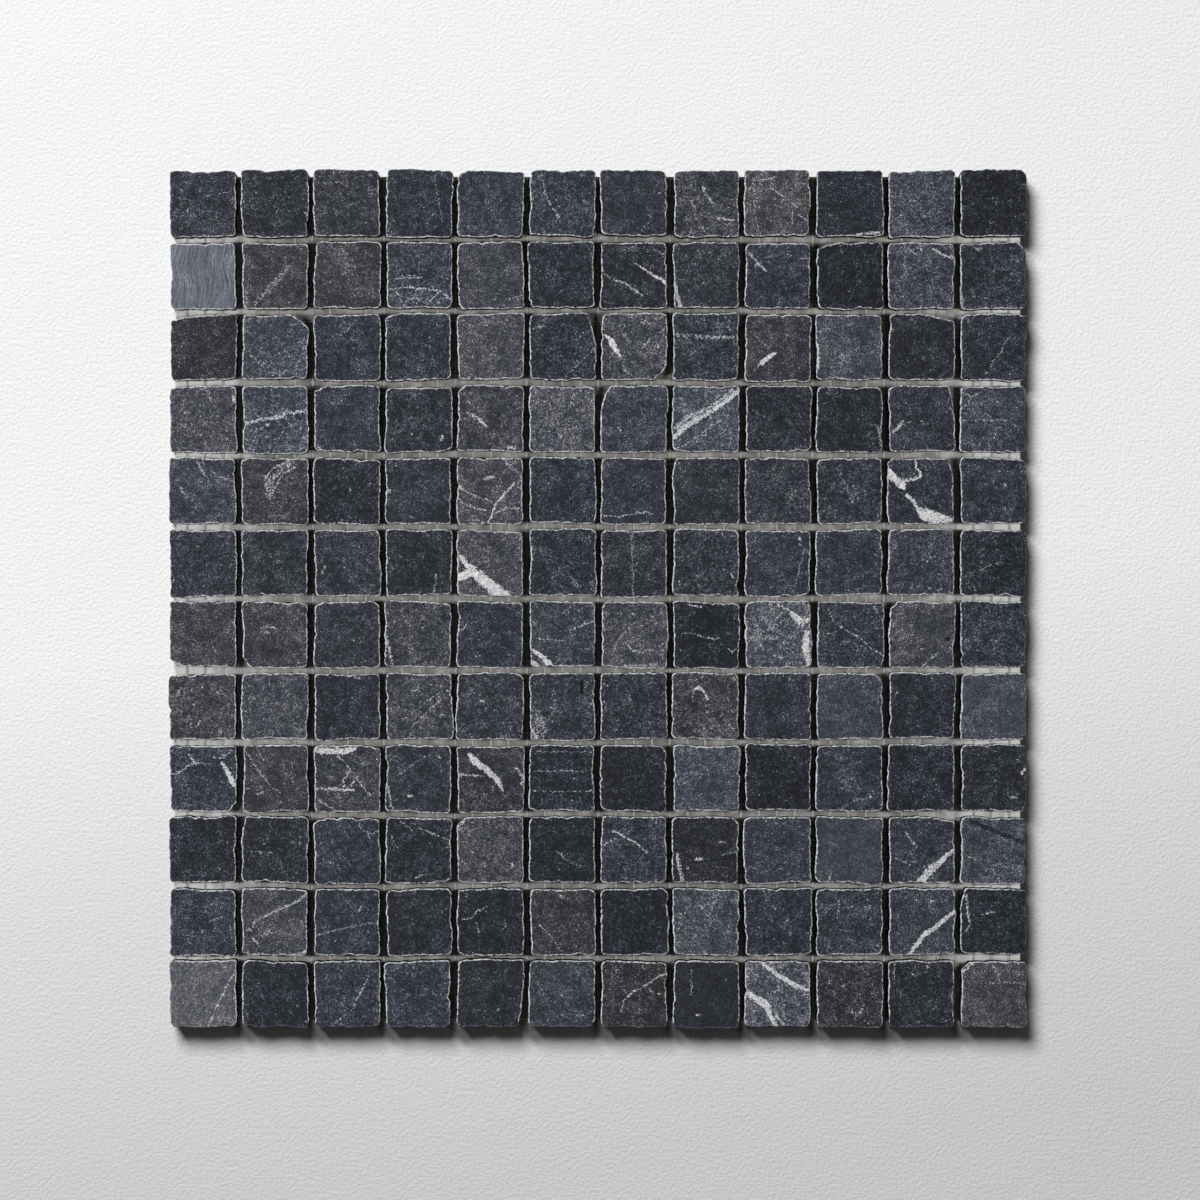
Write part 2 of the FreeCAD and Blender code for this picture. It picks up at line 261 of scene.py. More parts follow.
# Calcite veins, scratches and flecks: for each chip, strokes of a strength, below zero for dark ones, and of
# points (x, y, width) in millimetres from the chip's middle
VEINS = {
    (1, 1): [(0.3, (1.4, 3, 0.3), (9.8, 4.7, 0.3)), (0.25, (-11.2, 3, 0.3), (-3.5, 1.2, 0.3))],
    (1, 2): [(0.6, (10.6, -3.2, 0.5), (11.8, -4.1, 0.8))],
    (1, 3): [(0.35, (-3.5, 7.2, 0.8), (-0.4, 8.3, 0.6))],
    (1, 4): [(0.3, (5.5, 9.7, 0.4), (6.7, 1.2, 0.4), (7.7, -4.2, 0.5), (8, -6.2, 0.6))],
    (1, 6): [(0.5, (-7.6, 10.7, 0.4), (-6.2, 3.7, 0.4), (-4.2, -0.7, 0.4), (-1.2, -4.7, 0.4), (-0.7, -7.2, 0.3)),
             (0.6, (-2, -4.6, 0.6), (-1.7, -4.8, 0.6))],
    (1, 7): [(0.6, (8.6, 3.9, 0.5), (9.3, 3.4, 0.5)), (0.6, (5.5, -4.5, 0.4), (6.1, -5, 0.4))],
    (1, 8): [(0.6, (-1.5, 6.2, 0.4), (1.5, 0.7, 0.4), (3.5, -0.7, 0.3)), (0.5, (-6, 1.2, 0.3), (-3.5, -1.7, 0.3)),
             (0.8, (4, -5.2, 0.4), (9.4, -5.7, 0.5)), (0.6, (-2.5, -8.7, 0.3), (-1.8, -8, 0.3), (-1.1, -8.7, 0.3))],
    (1, 9): [(0.6, (-7.6, 7.7, 0.4), (0.4, 9.4, 0.3)), (0.6, (-2.6, 5.5, 0.3), (5.3, 0.2, 0.4), (7.3, -1.7, 0.4)),
             (0.6, (5.3, -2.7, 0.4), (5.3, -7.7, 0.4)), (0.6, (7.8, -4.2, 0.5), (11.8, -6.7, 0.5)),
             (0.4, (-8.3, 8.7, 0.3), (-7.8, -2.7, 0.3), (-6, -11.1, 0.3))],
    (1, 10): [(0.7, (2.2, -10.9, 0.6), (10.1, -10.2, 0.8)), (0.3, (-7.8, -3.2, 0.4), (-5.8, -5.2, 0.4))],
    (1, 11): [(-0.6, (8, -8.2, 0.5), (10.5, -5.7, 0.5))],
    (2, 1): [(0.5, (2.8, 5.9, 0.4), (3.1, 5.7, 0.4)), (0.5, (-3.6, -0.3, 0.4), (-3.3, -0.5, 0.4))],
    (2, 2): [(0.35, (-7.1, -9.6, 1.5), (-1, -3, 1.8), (4.8, 3.3, 1.2)), (0.4, (-10.3, -5.1, 0.8), (-10.1, -9, 0.9))],
    (2, 3): [(0.4, (-4, 7.1, 0.8), (-3, 7.6, 0.7)), (0.35, (-0.3, 2.1, 0.4), (1.7, -0.1, 0.4))],
    (2, 4): [(0.6, (-10.9, -5.1, 0.5), (-4.5, -4.1, 0.5), (3, -5.1, 0.5), (7.9, -5.6, 0.6), (11.4, -8.6, 0.5)),
             (0.4, (-8.5, -1, 0.9), (-4.5, -0.6, 1.4), (0.5, -0.8, 0.7)), (0.5, (-8, -5, 0.4), (-6.5, -9.5, 0.4),
              (-2, -8, 0.4), (-1, -4.6, 0.3)), (0.5, (-2, -8, 0.4), (3.2, -10.2, 0.5), (6.6, -6, 0.4))],
    (2, 5): [(0.5, (1.2, -8.5, 0.5), (1.7, -8.7, 0.5)), (0.4, (6.1, -8.9, 0.5), (11.6, -7.3, 0.5))],
    (2, 6): [(0.35, (8.7, 10.8, 0.3), (11.7, 5.3, 0.3))],
    (2, 7): [(0.5, (-10.3, 0.8, 0.4), (-8.3, -0.6, 0.4)), (0.7, (-6.9, -1.4, 0.5), (-2.9, -2.6, 0.5), (2.8, -6.8, 0.5)),
             (0.9, (0.6, 4.3, 0.3), (4.1, 2.1, 0.5), (7, 0.1, 0.7), (9.5, -0.9, 1), (12, -3.1, 1.2)),
             (0.3, (-3.6, 9.3, 1.8), (0.6, 9.7, 2)), (0.3, (6, 10, 0.4), (11, 7.3, 1))],
    (2, 8): [(0.7, (-11.4, -0.6, 0.6), (-10.6, -6, 1.3), (-9, -11.6, 1.4))],
    (2, 9): [(0.7, (-10, 8.3, 0.6), (-7.6, 5.3, 0.6), (-4.1, 2.1, 0.5)), (0.6, (8.3, 6.3, 0.4), (11.3, 6.3, 0.4)),
             (0.3, (0, -3.6, 0.4), (-2.1, -6.6, 0.4))],
    (2, 10): [(0.4, (-3.2, 8.3, 0.5), (-2.4, 8.2, 0.5))],
    (2, 11): [(0.75, (4.5, 9.3, 0.7), (7, 7.8, 0.8), (9.5, 6.8, 0.8), (11.2, 6.3, 0.8)),
              (0.4, (-3.9, 8.8, 0.5), (-1.4, 7.5, 0.5))],
    (2, 12): [(0.35, (-6.5, 9.9, 0.8), (-4.5, 9.7, 0.8)), (0.6, (-11.9, -3.1, 0.8), (-10.7, -11.6, 1))],
    (3, 2): [(0.35, (-2, -9.2, 1.6), (3.6, -8.8, 1.8)), (0.4, (-4.5, -6.5, 0.8), (-9, -2.5, 0.5))],
    (3, 6): [(0.4, (0.8, -10.5, 0.3), (11.2, -0.5, 0.3)), (0.35, (-10.6, 6.4, 0.5), (-7.1, 7.6, 0.5))],
    (3, 7): [(1, (-10.3, 4.4, 0.5), (-7.8, 1.9, 2), (-6.4, -1, 1.7), (-4.4, -4, 0.6)),
             (0.6, (-3.9, -6.5, 0.4), (-3.1, -8.5, 0.4), (-0.4, -10.5, 0.4)), (0.6, (5.6, 2.9, 0.5), (3.6, 0, 0.3)),
             (0.5, (8.5, 4.9, 0.3), (11.5, 6.9, 0.3))],
    (3, 8): [(0.35, (-10.9, 4.2, 1.2), (0, 3.4, 1.5), (11.9, 3.2, 1.2)), (0.4, (6.9, 10.9, 0.4), (8.4, 4.9, 0.4),
              (10.4, 0.4, 0.4))],
    (3, 9): [(1, (-1.6, -1.8, 1.1), (-5.8, -5, 1.7)), (0.4, (-5.8, -5, 0.8), (-8.3, -7.5, 0.5)),
             (0.35, (-8.3, 4.7, 0.4), (-3.3, 0, 0.4))],
    (3, 10): [(0.9, (-11.3, 0.5, 0.7), (-11, -4, 1.2), (-11.2, -7.5, 0.8))],
    (3, 12): [(0.45, (5.4, 3.9, 0.3), (3.4, 1.4, 0.3), (2.5, -1.5, 0.3), (-0.5, -5, 0.3), (-1.5, -8, 0.3),
               (-3, -9.5, 0.3))],
    (4, 1): [(0.5, (-7.2, 6.6, 0.3), (-6.5, 7.5, 0.3), (-5.7, 6.7, 0.3)), (0.7, (10.6, 8, 1.1), (10.9, 6.2, 1.3))],
    (4, 2): [(0.7, (-10.6, -1.3, 0.8), (-5.1, 0.1, 1), (2.3, 1.1, 1.3), (3.8, 2.6, 1.2), (8.3, 2.6, 1), (11.7, 3.6, 0.8)),
             (0.5, (-5.1, -3.3, 0.6), (-2.2, -1.3, 0.6))],
    (4, 3): [(0.7, (-10.2, -9.8, 0.6), (-8.7, -11.8, 0.8))],
    (4, 4): [(0.6, (8.7, -5.8, 0.6), (7.9, -7.5, 0.6))],
    (4, 5): [(0.7, (-8.5, 2.1, 0.5), (-5.1, 0.6, 1), (-1.6, -2.8, 0.6)), (0.5, (-8, 6.1, 0.5), (-5.1, 3.4, 0.4)),
             (0.6, (6.2, -10.4, 1.2), (8.4, -10.2, 1.4))],
    (4, 6): [(0.35, (6.7, 3.1, 0.4), (10.2, 6.1, 0.4))],
    (4, 7): [(0.4, (-6, -3, 0.5), (-2, -7, 0.4)), (0.35, (2, 5, 0.4), (4, -2, 0.4))],
    (4, 8): [(0.9, (-11.2, -6.4, 1.8), (-7, -2.4, 2), (-2, 0.6, 1.8), (4, 4, 1.5), (11.4, 9.7, 1.8)),
             (0.65, (-10.5, -2.8, 1.4), (-6.5, 0.7, 1.8), (-1, 2.9, 1.4), (5, 6.6, 1), (9.5, 10.3, 1.2)),
             (0.35, (-4, -8.8, 1), (0, -4.8, 1.4)), (0.4, (-8, -9.5, 0.5), (2, -2.5, 0.5), (8, 1.5, 0.4))],
    (4, 9): [(0.4, (-9.5, 3.1, 0.4), (-5.1, 0.6, 0.4))],
    (4, 10): [(0.45, (9.6, -1.3, 0.5), (10.9, -4.5, 1.2), (11.1, -8.8, 0.6))],
    (4, 11): [(0.7, (-10.3, -4.8, 0.8), (-7.9, -2.8, 0.9), (-6.4, -0.8, 0.8)), (0.5, (-4.7, -1.2, 0.5),
               (-4.1, -1.4, 0.5)), (0.5, (-0.2, -1, 0.5), (0.4, -1.2, 0.5))],
    (4, 12): [(0.35, (-10.9, -0.3, 0.5), (-3, -0.1, 0.5), (4.9, -0.3, 0.5)),
              (0.5, (-11, 9.6, 0.5), (-7.5, 8, 0.5), (-8.8, 5.2, 0.5), (-10.8, 4.2, 0.5)), (0.45, (-7.5, 8, 0.4),
               (-4.2, 9.5, 0.4))],
    (5, 1): [(0.6, (-2.1, 10.7, 0.5), (-0.6, 7.7, 0.5), (1.4, 4.7, 0.4)), (0.5, (-0.6, 11.7, 0.4), (0.7, 9.2, 0.4)),
             (0.5, (2.9, 7.2, 0.4), (5.9, 4.7, 0.4), (10.3, 3.7, 0.4)), (0.4, (-8, 1.3, 0.4), (-6, -1.7, 0.4))],
    (5, 2): [(0.4, (5.8, 11.2, 2.6), (3.8, 9.2, 2.4), (0.3, 6.2, 2.4), (-2.2, 2.2, 2.6), (-2.2, -2.2, 1.6)),
             (0.55, (7, 8.7, 0.5), (3, 6.2, 0.5), (0.3, 2.3, 0.5), (-1.2, -1.2, 0.5)),
             (0.55, (4.8, 10.9, 0.6), (-0.7, 8.4, 0.5), (-3.7, 4.7, 0.5), (-2.9, 0.7, 0.6))],
    (5, 3): [(0.5, (1.1, 1.2, 0.5), (1.3, -0.6, 0.5))],
    (5, 4): [(0.6, (-10.5, 0.2, 1.3), (-10, -0.2, 1.3))],
    (5, 5): [(0.6, (-11.3, 1, 0.4), (-7.5, -0.7, 0.4), (-4.6, -2.2, 0.4), (0.4, -3.7, 0.4)),
             (0.75, (-0.6, -11.6, 0.5), (2.4, -4.2, 0.6), (5.9, -0.2, 0.9), (8.8, 2.8, 0.6)),
             (0.6, (-11.3, -2.7, 0.4), (-9, -4.7, 0.4), (-5, -6.4, 0.4), (-1.6, -6.7, 0.4)),
             (0.6, (1.9, -7.7, 0.5), (5.4, -6.2, 0.5), (11.6, -6.2, 0.5)),
             (0.6, (4.9, 11.2, 0.6), (7.3, 8.2, 0.6), (10.3, 6.2, 0.6)), (0.7, (-1.6, 4.2, 1), (1.4, 5, 1))],
    (5, 7): [(0.6, (-10.3, -8.7, 0.4), (-5.4, -9.2, 0.4), (-0.4, -8.2, 0.4), (4.1, -7.4, 0.4), (6.5, -7.9, 0.4)),
             (0.5, (4.2, 2.5, 0.6), (5, 2.1, 0.6))],
    (5, 10): [(0.35, (-3, 6, 0.4), (1, -4, 0.4)), (0.35, (0, 7, 0.4), (3, -3, 0.4))],
    (5, 11): [(1, (-11.6, 6.7, 3), (-6.4, 1.8, 2.6)), (0.85, (-6.4, 3.7, 0.9), (-3.4, 4, 0.9), (-0.4, 4.7, 0.8),
              (-0.2, 6.7, 0.7), (-1.7, 8.2, 0.6), (-1.7, 11.2, 0.6)),
              (0.9, (-4.9, -1.2, 1), (-2.4, -3.7, 1), (-1.4, -5.7, 1)),
              (1, (-0.9, -6.2, 1.5), (1.6, -8.2, 4.5), (5.5, -9.6, 4.2), (12, -10.2, 1.1))],
    (5, 12): [(0.5, (3.5, 2.1, 1), (4.3, 1.9, 1)), (0.4, (-3.2, 2.6, 0.6), (-2.8, 2.4, 0.6))],
    (6, 3): [(0.5, (-8, -1.1, 0.5), (-9, -3.6, 0.4))],
    (6, 4): [(0.5, (6.2, -4.1, 0.4), (5.2, -10.6, 0.4))],
    (6, 5): [(1, (-11.3, -4.9, 3), (-6.5, -3.1, 3)), (1, (-10.5, 2.6, 1.2), (-6.5, -2.6, 2.6)),
             (1, (-6.5, -2.6, 3.5), (0.4, -8.1, 4), (4.8, -11.9, 4.8)), (0.6, (8.9, -1.4, 0.5), (9.4, -1.8, 0.5))],
    (6, 6): [(0.5, (2.8, -5.9, 0.3), (6.2, -9.1, 0.3))],
    (6, 7): [(0.65, (-0.6, 10.8, 0.2), (-0.2, -11.6, 0.2))],
    (6, 8): [(0.7, (8.8, -4, 0.6), (9.6, -5.2, 0.8)), (0.7, (-9.6, -6.8, 0.6), (-9.1, -7.5, 0.6))],
    (6, 9): [(0.7, (7.5, 9.1, 0.6), (7.8, 8.5, 0.5)), (0.6, (7.6, 7, 0.4), (8, 6.6, 0.4)),
             (0.4, (9, 4, 0.4), (6, -8, 0.3))],
    (6, 10): [(0.35, (9.3, 2.6, 0.6), (10, 2, 0.6))],
    (6, 11): [(0.6, (2.4, 0.4, 0.5), (2.8, 0.2, 0.5)), (0.6, (2.8, -8.7, 0.5), (3.3, -9, 0.5))],
    (6, 12): [(0.4, (-5, -2.6, 0.3), (0, -0.1, 0.3), (3.4, 0.3, 0.3))],
    (7, 2): [(0.6, (-5.1, 2.1, 0.5), (-3.1, 2.9, 0.5), (0.3, 2.1, 0.4)), (0.5, (-3.3, 0.8, 0.5), (-2.2, 0.3, 0.5))],
    (7, 4): [(0.45, (-11.4, 0, 0.9), (-10, -6, 1), (-9, -11, 0.9))],
    (7, 5): [(0.7, (-11.5, 1.6, 0.5), (-9.5, 2.1, 0.5), (-8.3, 3.3, 0.5))],
    (7, 6): [(0.95, (-10.6, -5.6, 0.7), (-7.1, -8.1, 2), (-3.2, -12.1, 2)), (0.8, (-10.6, -9.6, 1), (-8.1, -11.8, 1)),
             (0.5, (-9.1, -1.6, 0.3), (0.8, -2.4, 0.3)), (0.5, (1.8, 0.8, 0.4), (11.2, 4.8, 0.4)),
             (0.5, (6.2, -4.9, 0.3), (11.7, -5.6, 0.3))],
    (7, 7): [(0.5, (-8.1, -7.1, 0.4), (-5.9, -2.1, 0.5), (-2.9, 1.3, 0.5), (0.6, 4.8, 0.4)),
             (0.6, (-2.9, -3.1, 0.5), (-0.9, -5.6, 0.5), (3.1, -6.1, 0.6), (6, -5.1, 0.5)),
             (0.7, (-0.7, 7.4, 0.7), (-0.1, 7.2, 0.7)), (0.5, (-4, -11, 0.9), (8, -10.6, 1))],
    (7, 8): [(0.5, (-8.9, 0.8, 0.4), (-4, 0.3, 0.4), (0, -1.1, 0.4), (5, -1.4, 0.4)),
             (0.7, (7.9, -4.9, 0.4), (9.2, -6.1, 0.5), (10.4, -5.1, 0.4)), (0.6, (-6, 10.6, 0.6), (-2, 9.8, 0.6))],
    (7, 9): [(0.7, (-0.1, 10.5, 1.1), (3.4, 8.8, 1)), (0.85, (4.8, 7.5, 1.6), (8.3, 4.3, 2.7), (11.3, 5.3, 1.5)),
             (0.95, (10.3, 0.8, 1.6), (9.8, -4.1, 2.6), (10.8, -11.6, 1.3)), (0.35, (-11, -1, 1.4), (6, -1.5, 1.2)),
             (0.35, (-3, 3, 1.6), (1, 0.4, 1.2))],
    (7, 10): [(0.5, (-8.3, 9.3, 0.4), (-5.8, 4.3, 0.3), (-1.3, 1.3, 0.3), (2.7, -0.4, 0.4), (6.6, -4.1, 0.3),
               (11.6, -7.6, 0.4)), (0.5, (-8.7, 0.3, 0.4), (-6.3, 0.8, 0.4)), (0.5, (8.1, 10.3, 0.4), (9.4, 7.5, 0.4))],
    (7, 11): [(0.6, (0.1, -10.8, 0.5), (2.6, -8.6, 0.4), (5.5, -6.3, 0.4)), (0.5, (-0.7, -4.8, 0.6), (0, -5, 0.6)),
              (-0.7, (8.8, -1.6, 1.6), (9, -1.8, 1.6))],
    (7, 12): [(0.5, (-6.3, -5.5, 0.5), (-5.7, -5.8, 0.5)), (0.5, (-0.3, -4, 0.4), (0.3, -4.2, 0.4))],
    (8, 1): [(0.7, (-3.2, 0.9, 0.6), (-2.4, 0.5, 0.6)), (0.6, (-0.8, -5, 0.4), (-2, -6.5, 0.4)),
             (0.6, (6.1, -8.6, 0.5), (6.7, -8.9, 0.5)), (0.5, (-9, 4, 0.7), (-8, 6.5, 0.5))],
    (8, 3): [(0.6, (2.4, 10.5, 0.7), (4.2, 10.2, 0.7))],
    (8, 4): [(0.5, (-3, -7.5, 0.4), (7.5, 2.2, 0.4)), (0.4, (-3.5, -3, 0.3), (7, 4.9, 0.3)),
             (0.5, (9.9, 5.6, 0.5), (10.5, 5.2, 0.5))],
    (8, 5): [(0.6, (-3.2, 2.1, 0.7), (-2.7, 1.8, 0.6))],
    (8, 6): [(0.35, (-10, -1.5, 2), (-8, -6, 5), (-8.5, -10, 5)), (0.6, (-11, -8, 0.7), (-9, -11.4, 0.8)),
             (-1, (6.7, 9.2, 1.1), (6.7, 5.6, 1.2))],
    (8, 8): [(0.9, (-4, 5.9, 0.6), (-2, 6.6, 1.2), (-0.3, 4.9, 0.7), (0.7, 2.4, 0.5)),
             (0.5, (-4, 5.9, 0.3), (-4.5, 1.9, 0.3)), (0.5, (9.7, 10.4, 0.4), (11.9, 6.9, 0.4)),
             (0.6, (9.3, -1.7, 0.5), (9.7, -1.9, 0.5))],
    (9, 1): [(0.6, (-11.5, 1.5, 0.5), (-8.5, 2.3, 0.5), (-4.5, 5, 0.5), (-1.6, 5.5, 0.5), (2.4, 5.3, 0.4)),
             (0.6, (-5.3, 8.7, 0.8), (-3.5, 6, 0.7)), (0.5, (3.4, 7.5, 0.4), (6.4, 7, 0.4), (9.8, 10, 0.4)),
             (0.9, (6.4, 5.5, 0.7), (8.4, 2.5, 1.7), (10.8, -2.4, 1.6))],
    (9, 2): [(0.5, (-11.1, 10, 0.3), (-5.1, 1.5, 0.4), (-1.7, -2.9, 0.3), (1.8, -4.9, 0.3)),
             (0.5, (-6.6, 10.5, 0.3), (-4.6, 6.5, 0.3)), (0.4, (5.3, 6, 0.3), (6, -1.9, 0.3)),
             (0.6, (-10.4, -3.2, 0.6), (-9.8, -3.6, 0.6)), (0.6, (-6.8, -5.3, 0.5), (-4.7, -4.9, 0.5))],
    (9, 3): [(0.9, (-10.7, 10, 2), (-2.3, 9.7, 2.4), (2.7, 10.5, 1.1)),
             (0.55, (-3.8, 8.5, 0.5), (0.2, 4.5, 0.4), (2.7, 1, 0.4), (8.1, -5.9, 0.4)),
             (0.5, (1.2, 2.8, 0.8), (-1.5, -0.4, 0.7), (-1.5, -2.4, 0.7), (0.7, -3.4, 0.7), (2.2, -0.9, 0.8)),
             (0.7, (-11.2, -3.4, 0.4), (-4.7, -3.7, 1.2), (2.2, -3.9, 0.5)), (0.6, (-10.4, -7.4, 0.4),
              (-2.3, -12.3, 0.4))],
    (9, 4): [(0.4, (-6.4, 1.8, 0.3), (2.5, 8, 0.3)), (0.6, (-7.2, 4.1, 0.5), (-6.6, 3.9, 0.5)),
             (0.7, (-3.4, -6, 0.6), (-2, -5.8, 0.6)), (0.6, (7.4, 7.8, 0.6), (8, 7.6, 0.6)),
             (0.5, (-10.9, -1.9, 0.9), (-8.9, -11.9, 1))],
    (9, 5): [(0.9, (-7.5, 9, 1.2), (-5.6, 6.5, 2.6), (-3.1, 4.5, 2.4)), (0.85, (-2.1, 4, 2.2), (1.4, 1, 2),
              (3.4, -1.9, 1.1), (4.4, -3.9, 0.4)), (0.6, (-11, 1.8, 0.8), (-2.6, 1.3, 0.6)),
             (0.7, (8.8, 4.5, 0.5), (11.6, 1, 0.9), (11.1, -1.4, 1)), (0.6, (4.9, -11.9, 0.6), (8.3, -10.9, 0.6))],
    (9, 6): [(0.45, (-10, 9.4, 0.2), (11.7, 9.4, 0.2)), (0.5, (-10, 2.5, 0.25), (11.7, 2.5, 0.25)),
             (0.45, (-10, -4.6, 0.2), (11.7, -4.6, 0.2))],
    (9, 8): [(0.4, (-8, -1.7, 0.8), (-7, -1.7, 0.8)), (0.4, (-3, -0.9, 0.4), (-2, 1.5, 0.4))],
    (9, 10): [(0.3, (-2.3, -10.4, 1.2), (0.7, -8.4, 1.4), (7.6, -6.4, 1.2))],
    (9, 12): [(0.9, (9.8, 1.7, 0.9), (11, 2.9, 0.9)), (0.5, (6.4, -6.9, 0.5), (8.4, -6.9, 0.5))],
    (10, 1): [(0.5, (5.7, -6.7, 0.6), (6.3, -6.9, 0.6))],
    (10, 2): [(0.35, (-9.8, -0.5, 0.4), (-0.5, -1, 0.4))],
    (10, 3): [(0.4, (4, 9, 0.3), (7.5, 6, 0.3), (11, 7, 0.3)), (0.4, (7.5, 6, 0.3), (9, 2, 0.3))],
    (10, 4): [(0.5, (0, 8, 0.4), (11.4, 3.6, 0.4)), (0.4, (-6.7, 10.6, 0.3), (-2.6, 8, 0.3)),
              (0.4, (-9.8, 5.7, 0.3), (-7.7, 1, 0.3)), (0.5, (3.7, -12.2, 0.6), (11.4, -9.9, 0.6)),
              (0.6, (-0.9, -9.5, 0.6), (1.3, -8.6, 0.6))],
    (10, 5): [(0.6, (7.5, -4.9, 0.7), (7.7, -6.4, 0.7)), (0.7, (-11.3, 8.2, 0.6), (-8.2, 11.3, 0.6))],
    (10, 6): [(0.35, (-2, -0.5, 0.5), (1.1, -3.6, 0.5), (6.3, -5.7, 0.5))],
    (10, 7): [(0.65, (-7.2, 6.7, 0.6), (-2.5, 4.1, 0.6), (0.6, 2.6, 0.6), (4.7, -1, 0.6)),
              (0.5, (-10.3, 1.6, 0.5), (-6.2, 3.9, 0.5))],
    (10, 8): [(0.6, (-3.4, -3.2, 0.9), (-1.6, -3, 0.9)), (0.5, (-6.8, -6.1, 0.7), (-6.2, -6.3, 0.7)),
              (0.5, (4.7, 3.1, 0.4), (7.3, 2.9, 0.4)), (0.5, (5.8, -1.6, 0.4), (12, 0, 0.4)),
              (0.6, (-10.3, -1, 1.1), (-8.2, -11.4, 1.2))],
    (10, 10): [(0.4, (-6.4, -7.5, 0.5), (-7.7, -11.4, 0.5))],
    (10, 11): [(0.9, (12, 0.3, 1.1), (8.9, -1.8, 1.6), (6.3, -4.7, 1.8), (3.2, -6.7, 2.8), (1.1, -9.3, 2.6),
                (-0.2, -11.9, 3.4)), (0.5, (-6, 6, 0.5), (-2, 1, 0.4)), (0.4, (-9, -3, 0.5), (-3, -6, 0.4))],
    (10, 12): [(0.5, (-1, -5.2, 0.5), (2.7, -11.4, 0.5)), (0.35, (-9, -2, 0.5), (-3, -5, 0.4)),
               (-0.5, (-8.2, 10.4, 1.4), (1.5, 6.5, 1.5), (11.5, 2.6, 1.2))],
    (11, 1): [(0.35, (0, -0.5, 0.4), (6.8, 2.1, 0.4))],
    (11, 2): [(0.6, (11.4, 10.4, 0.9), (7.8, 7.3, 0.8), (0.5, 4.1, 0.6), (-5.2, 1.6, 0.5), (-7.2, 0.5, 0.5),
               (-7.8, -1.6, 0.5)), (0.45, (-3.4, -3.6, 1.8), (-1.8, -3.2, 1.8)), (0.5, (-9.8, -2.4, 1), (-8.8, -2.8, 1)),
              (0.6, (-7.8, -5.7, 0.6), (-5.7, -7.8, 0.6)), (0.7, (4.2, -12.4, 0.9), (11.4, -10.1, 1))],
    (11, 3): [(0.45, (-10.9, -4.7, 0.3), (-2.6, -2.3, 0.3), (9.9, 0, 0.3)), (0.4, (5.2, 6.2, 0.4), (3.7, 3.6, 0.4))],
    (11, 5): [(0.5, (-9.8, 1, 0.5), (-6.7, 1.6, 0.5), (-5.1, 3.6, 0.5), (-1, 5.7, 0.4)),
              (0.4, (-5.1, 0, 0.4), (-4.1, -3.6, 0.4))],
    (11, 6): [(0.45, (-8.3, -1, 0.3), (-4.1, -5.2, 0.3), (0, -11.4, 0.3)), (0.5, (-1, 9.2, 1), (0, 9, 1))],
    (11, 8): [(0.5, (-2.5, 6.2, 0.4), (0.6, 2.1, 0.4)), (0.4, (-10.3, 2.6, 0.4), (-5.7, 3.6, 0.3))],
    (11, 9): [(0.3, (-6.7, -2, 0.8), (-6.1, -2.2, 0.8))],
    (11, 10): [(0.45, (-3.6, 7.3, 0.4), (-4.6, 1.6, 0.4))],
    (11, 11): [(0.9, (12.3, 4.1, 1.2), (9.9, 2.6, 1.3), (6.3, -0.5, 1.5), (3.7, -2.6, 1.6), (1.1, -4.1, 1.5),
                (-1.5, -7.3, 1.4), (-4.6, -11.4, 1.3)), (0.8, (2.9, 7.2, 0.5), (3.9, 7.4, 0.5))],
    (11, 12): [(0.55, (-9.5, 9.3, 0.8), (-9.3, 4.1, 0.8), (-8.2, -0.5, 0.8), (-9.8, -3.1, 0.8)),
               (0.5, (-4.6, 2.6, 0.4), (0.6, 3.6, 0.4))],
    (12, 1): [(0.6, (10.6, 6.7, 0.35), (7.3, 1, 0.35), (3.6, -6.7, 0.35), (1.6, -11.9, 0.35))],
    (12, 3): [(0.5, (7.8, 6.2, 0.4), (1.1, -6.2, 0.4), (-5.7, -11.4, 0.4))],
    (12, 4): [(0.4, (5.2, 1, 0.4), (6.8, -1, 0.4))],
    (12, 5): [(0.55, (13, 6.7, 0.7), (11.4, -2, 1.1), (10.4, -11.4, 1.2)), (0.6, (2.6, -5.8, 0.6), (3.6, -5.6, 0.6))],
    (12, 7): [(0.55, (11.5, 7.3, 0.5), (7.8, 5.7, 0.5), (4.2, 2.9, 0.6), (0, 1, 0.6), (-3.6, -2.6, 0.6),
               (-4.6, -6.2, 0.5)), (0.6, (5.2, 2.1, 0.4), (6.8, 0, 0.4)), (0.6, (8.6, 0.1, 0.6), (9.2, -0.1, 0.6))],
    (12, 8): [(0.3, (-5.1, 8.3, 0.4), (-5.1, 0, 0.4)), (0.6, (-3.1, -7.6, 0.6), (-1.9, -7.4, 0.6))],
    (12, 9): [(0.9, (-5.1, 10.6, 1.3), (-1.5, 8.3, 1.3), (1.1, 6.2, 1.6), (6.3, 3.1, 1.8), (12, 1, 0.7)),
              (0.95, (-10.3, 0, 2), (-7.2, -1.6, 2.2), (-4.1, -3.6, 2.8), (-2.5, -7.8, 1.3), (-0.5, -11.4, 1.6)),
              (0.7, (-0.5, -7.8, 1), (2.1, -10.9, 1)), (0.6, (1.6, -5.7, 0.5), (3.2, -9.3, 0.5))],
    (12, 10): [(0.35, (-1, -4.7, 0.9), (2.7, -7.8, 1.2), (4.7, -4.1, 0.9)), (-0.5, (1.6, 4.7, 0.5), (12, 8.3, 0.5))],
    (12, 11): [(0.4, (-9.3, 10.4, 0.5), (-9.8, 4.7, 0.5)), (0.6, (-3.3, 6.8, 0.5), (-2.7, 6.6, 0.5)),
               (0.6, (1.8, 9.5, 0.5), (2.4, 9.1, 0.5))],
    (12, 12): [(0.8, (-10.8, 7.8, 0.7), (-7.7, 10.9, 0.7)), (0.5, (0, 9.8, 0.4), (2.1, 4.7, 0.4)),
               (0.4, (-3, 3.9, 0.3), (10.4, 4.1, 0.3))],
}

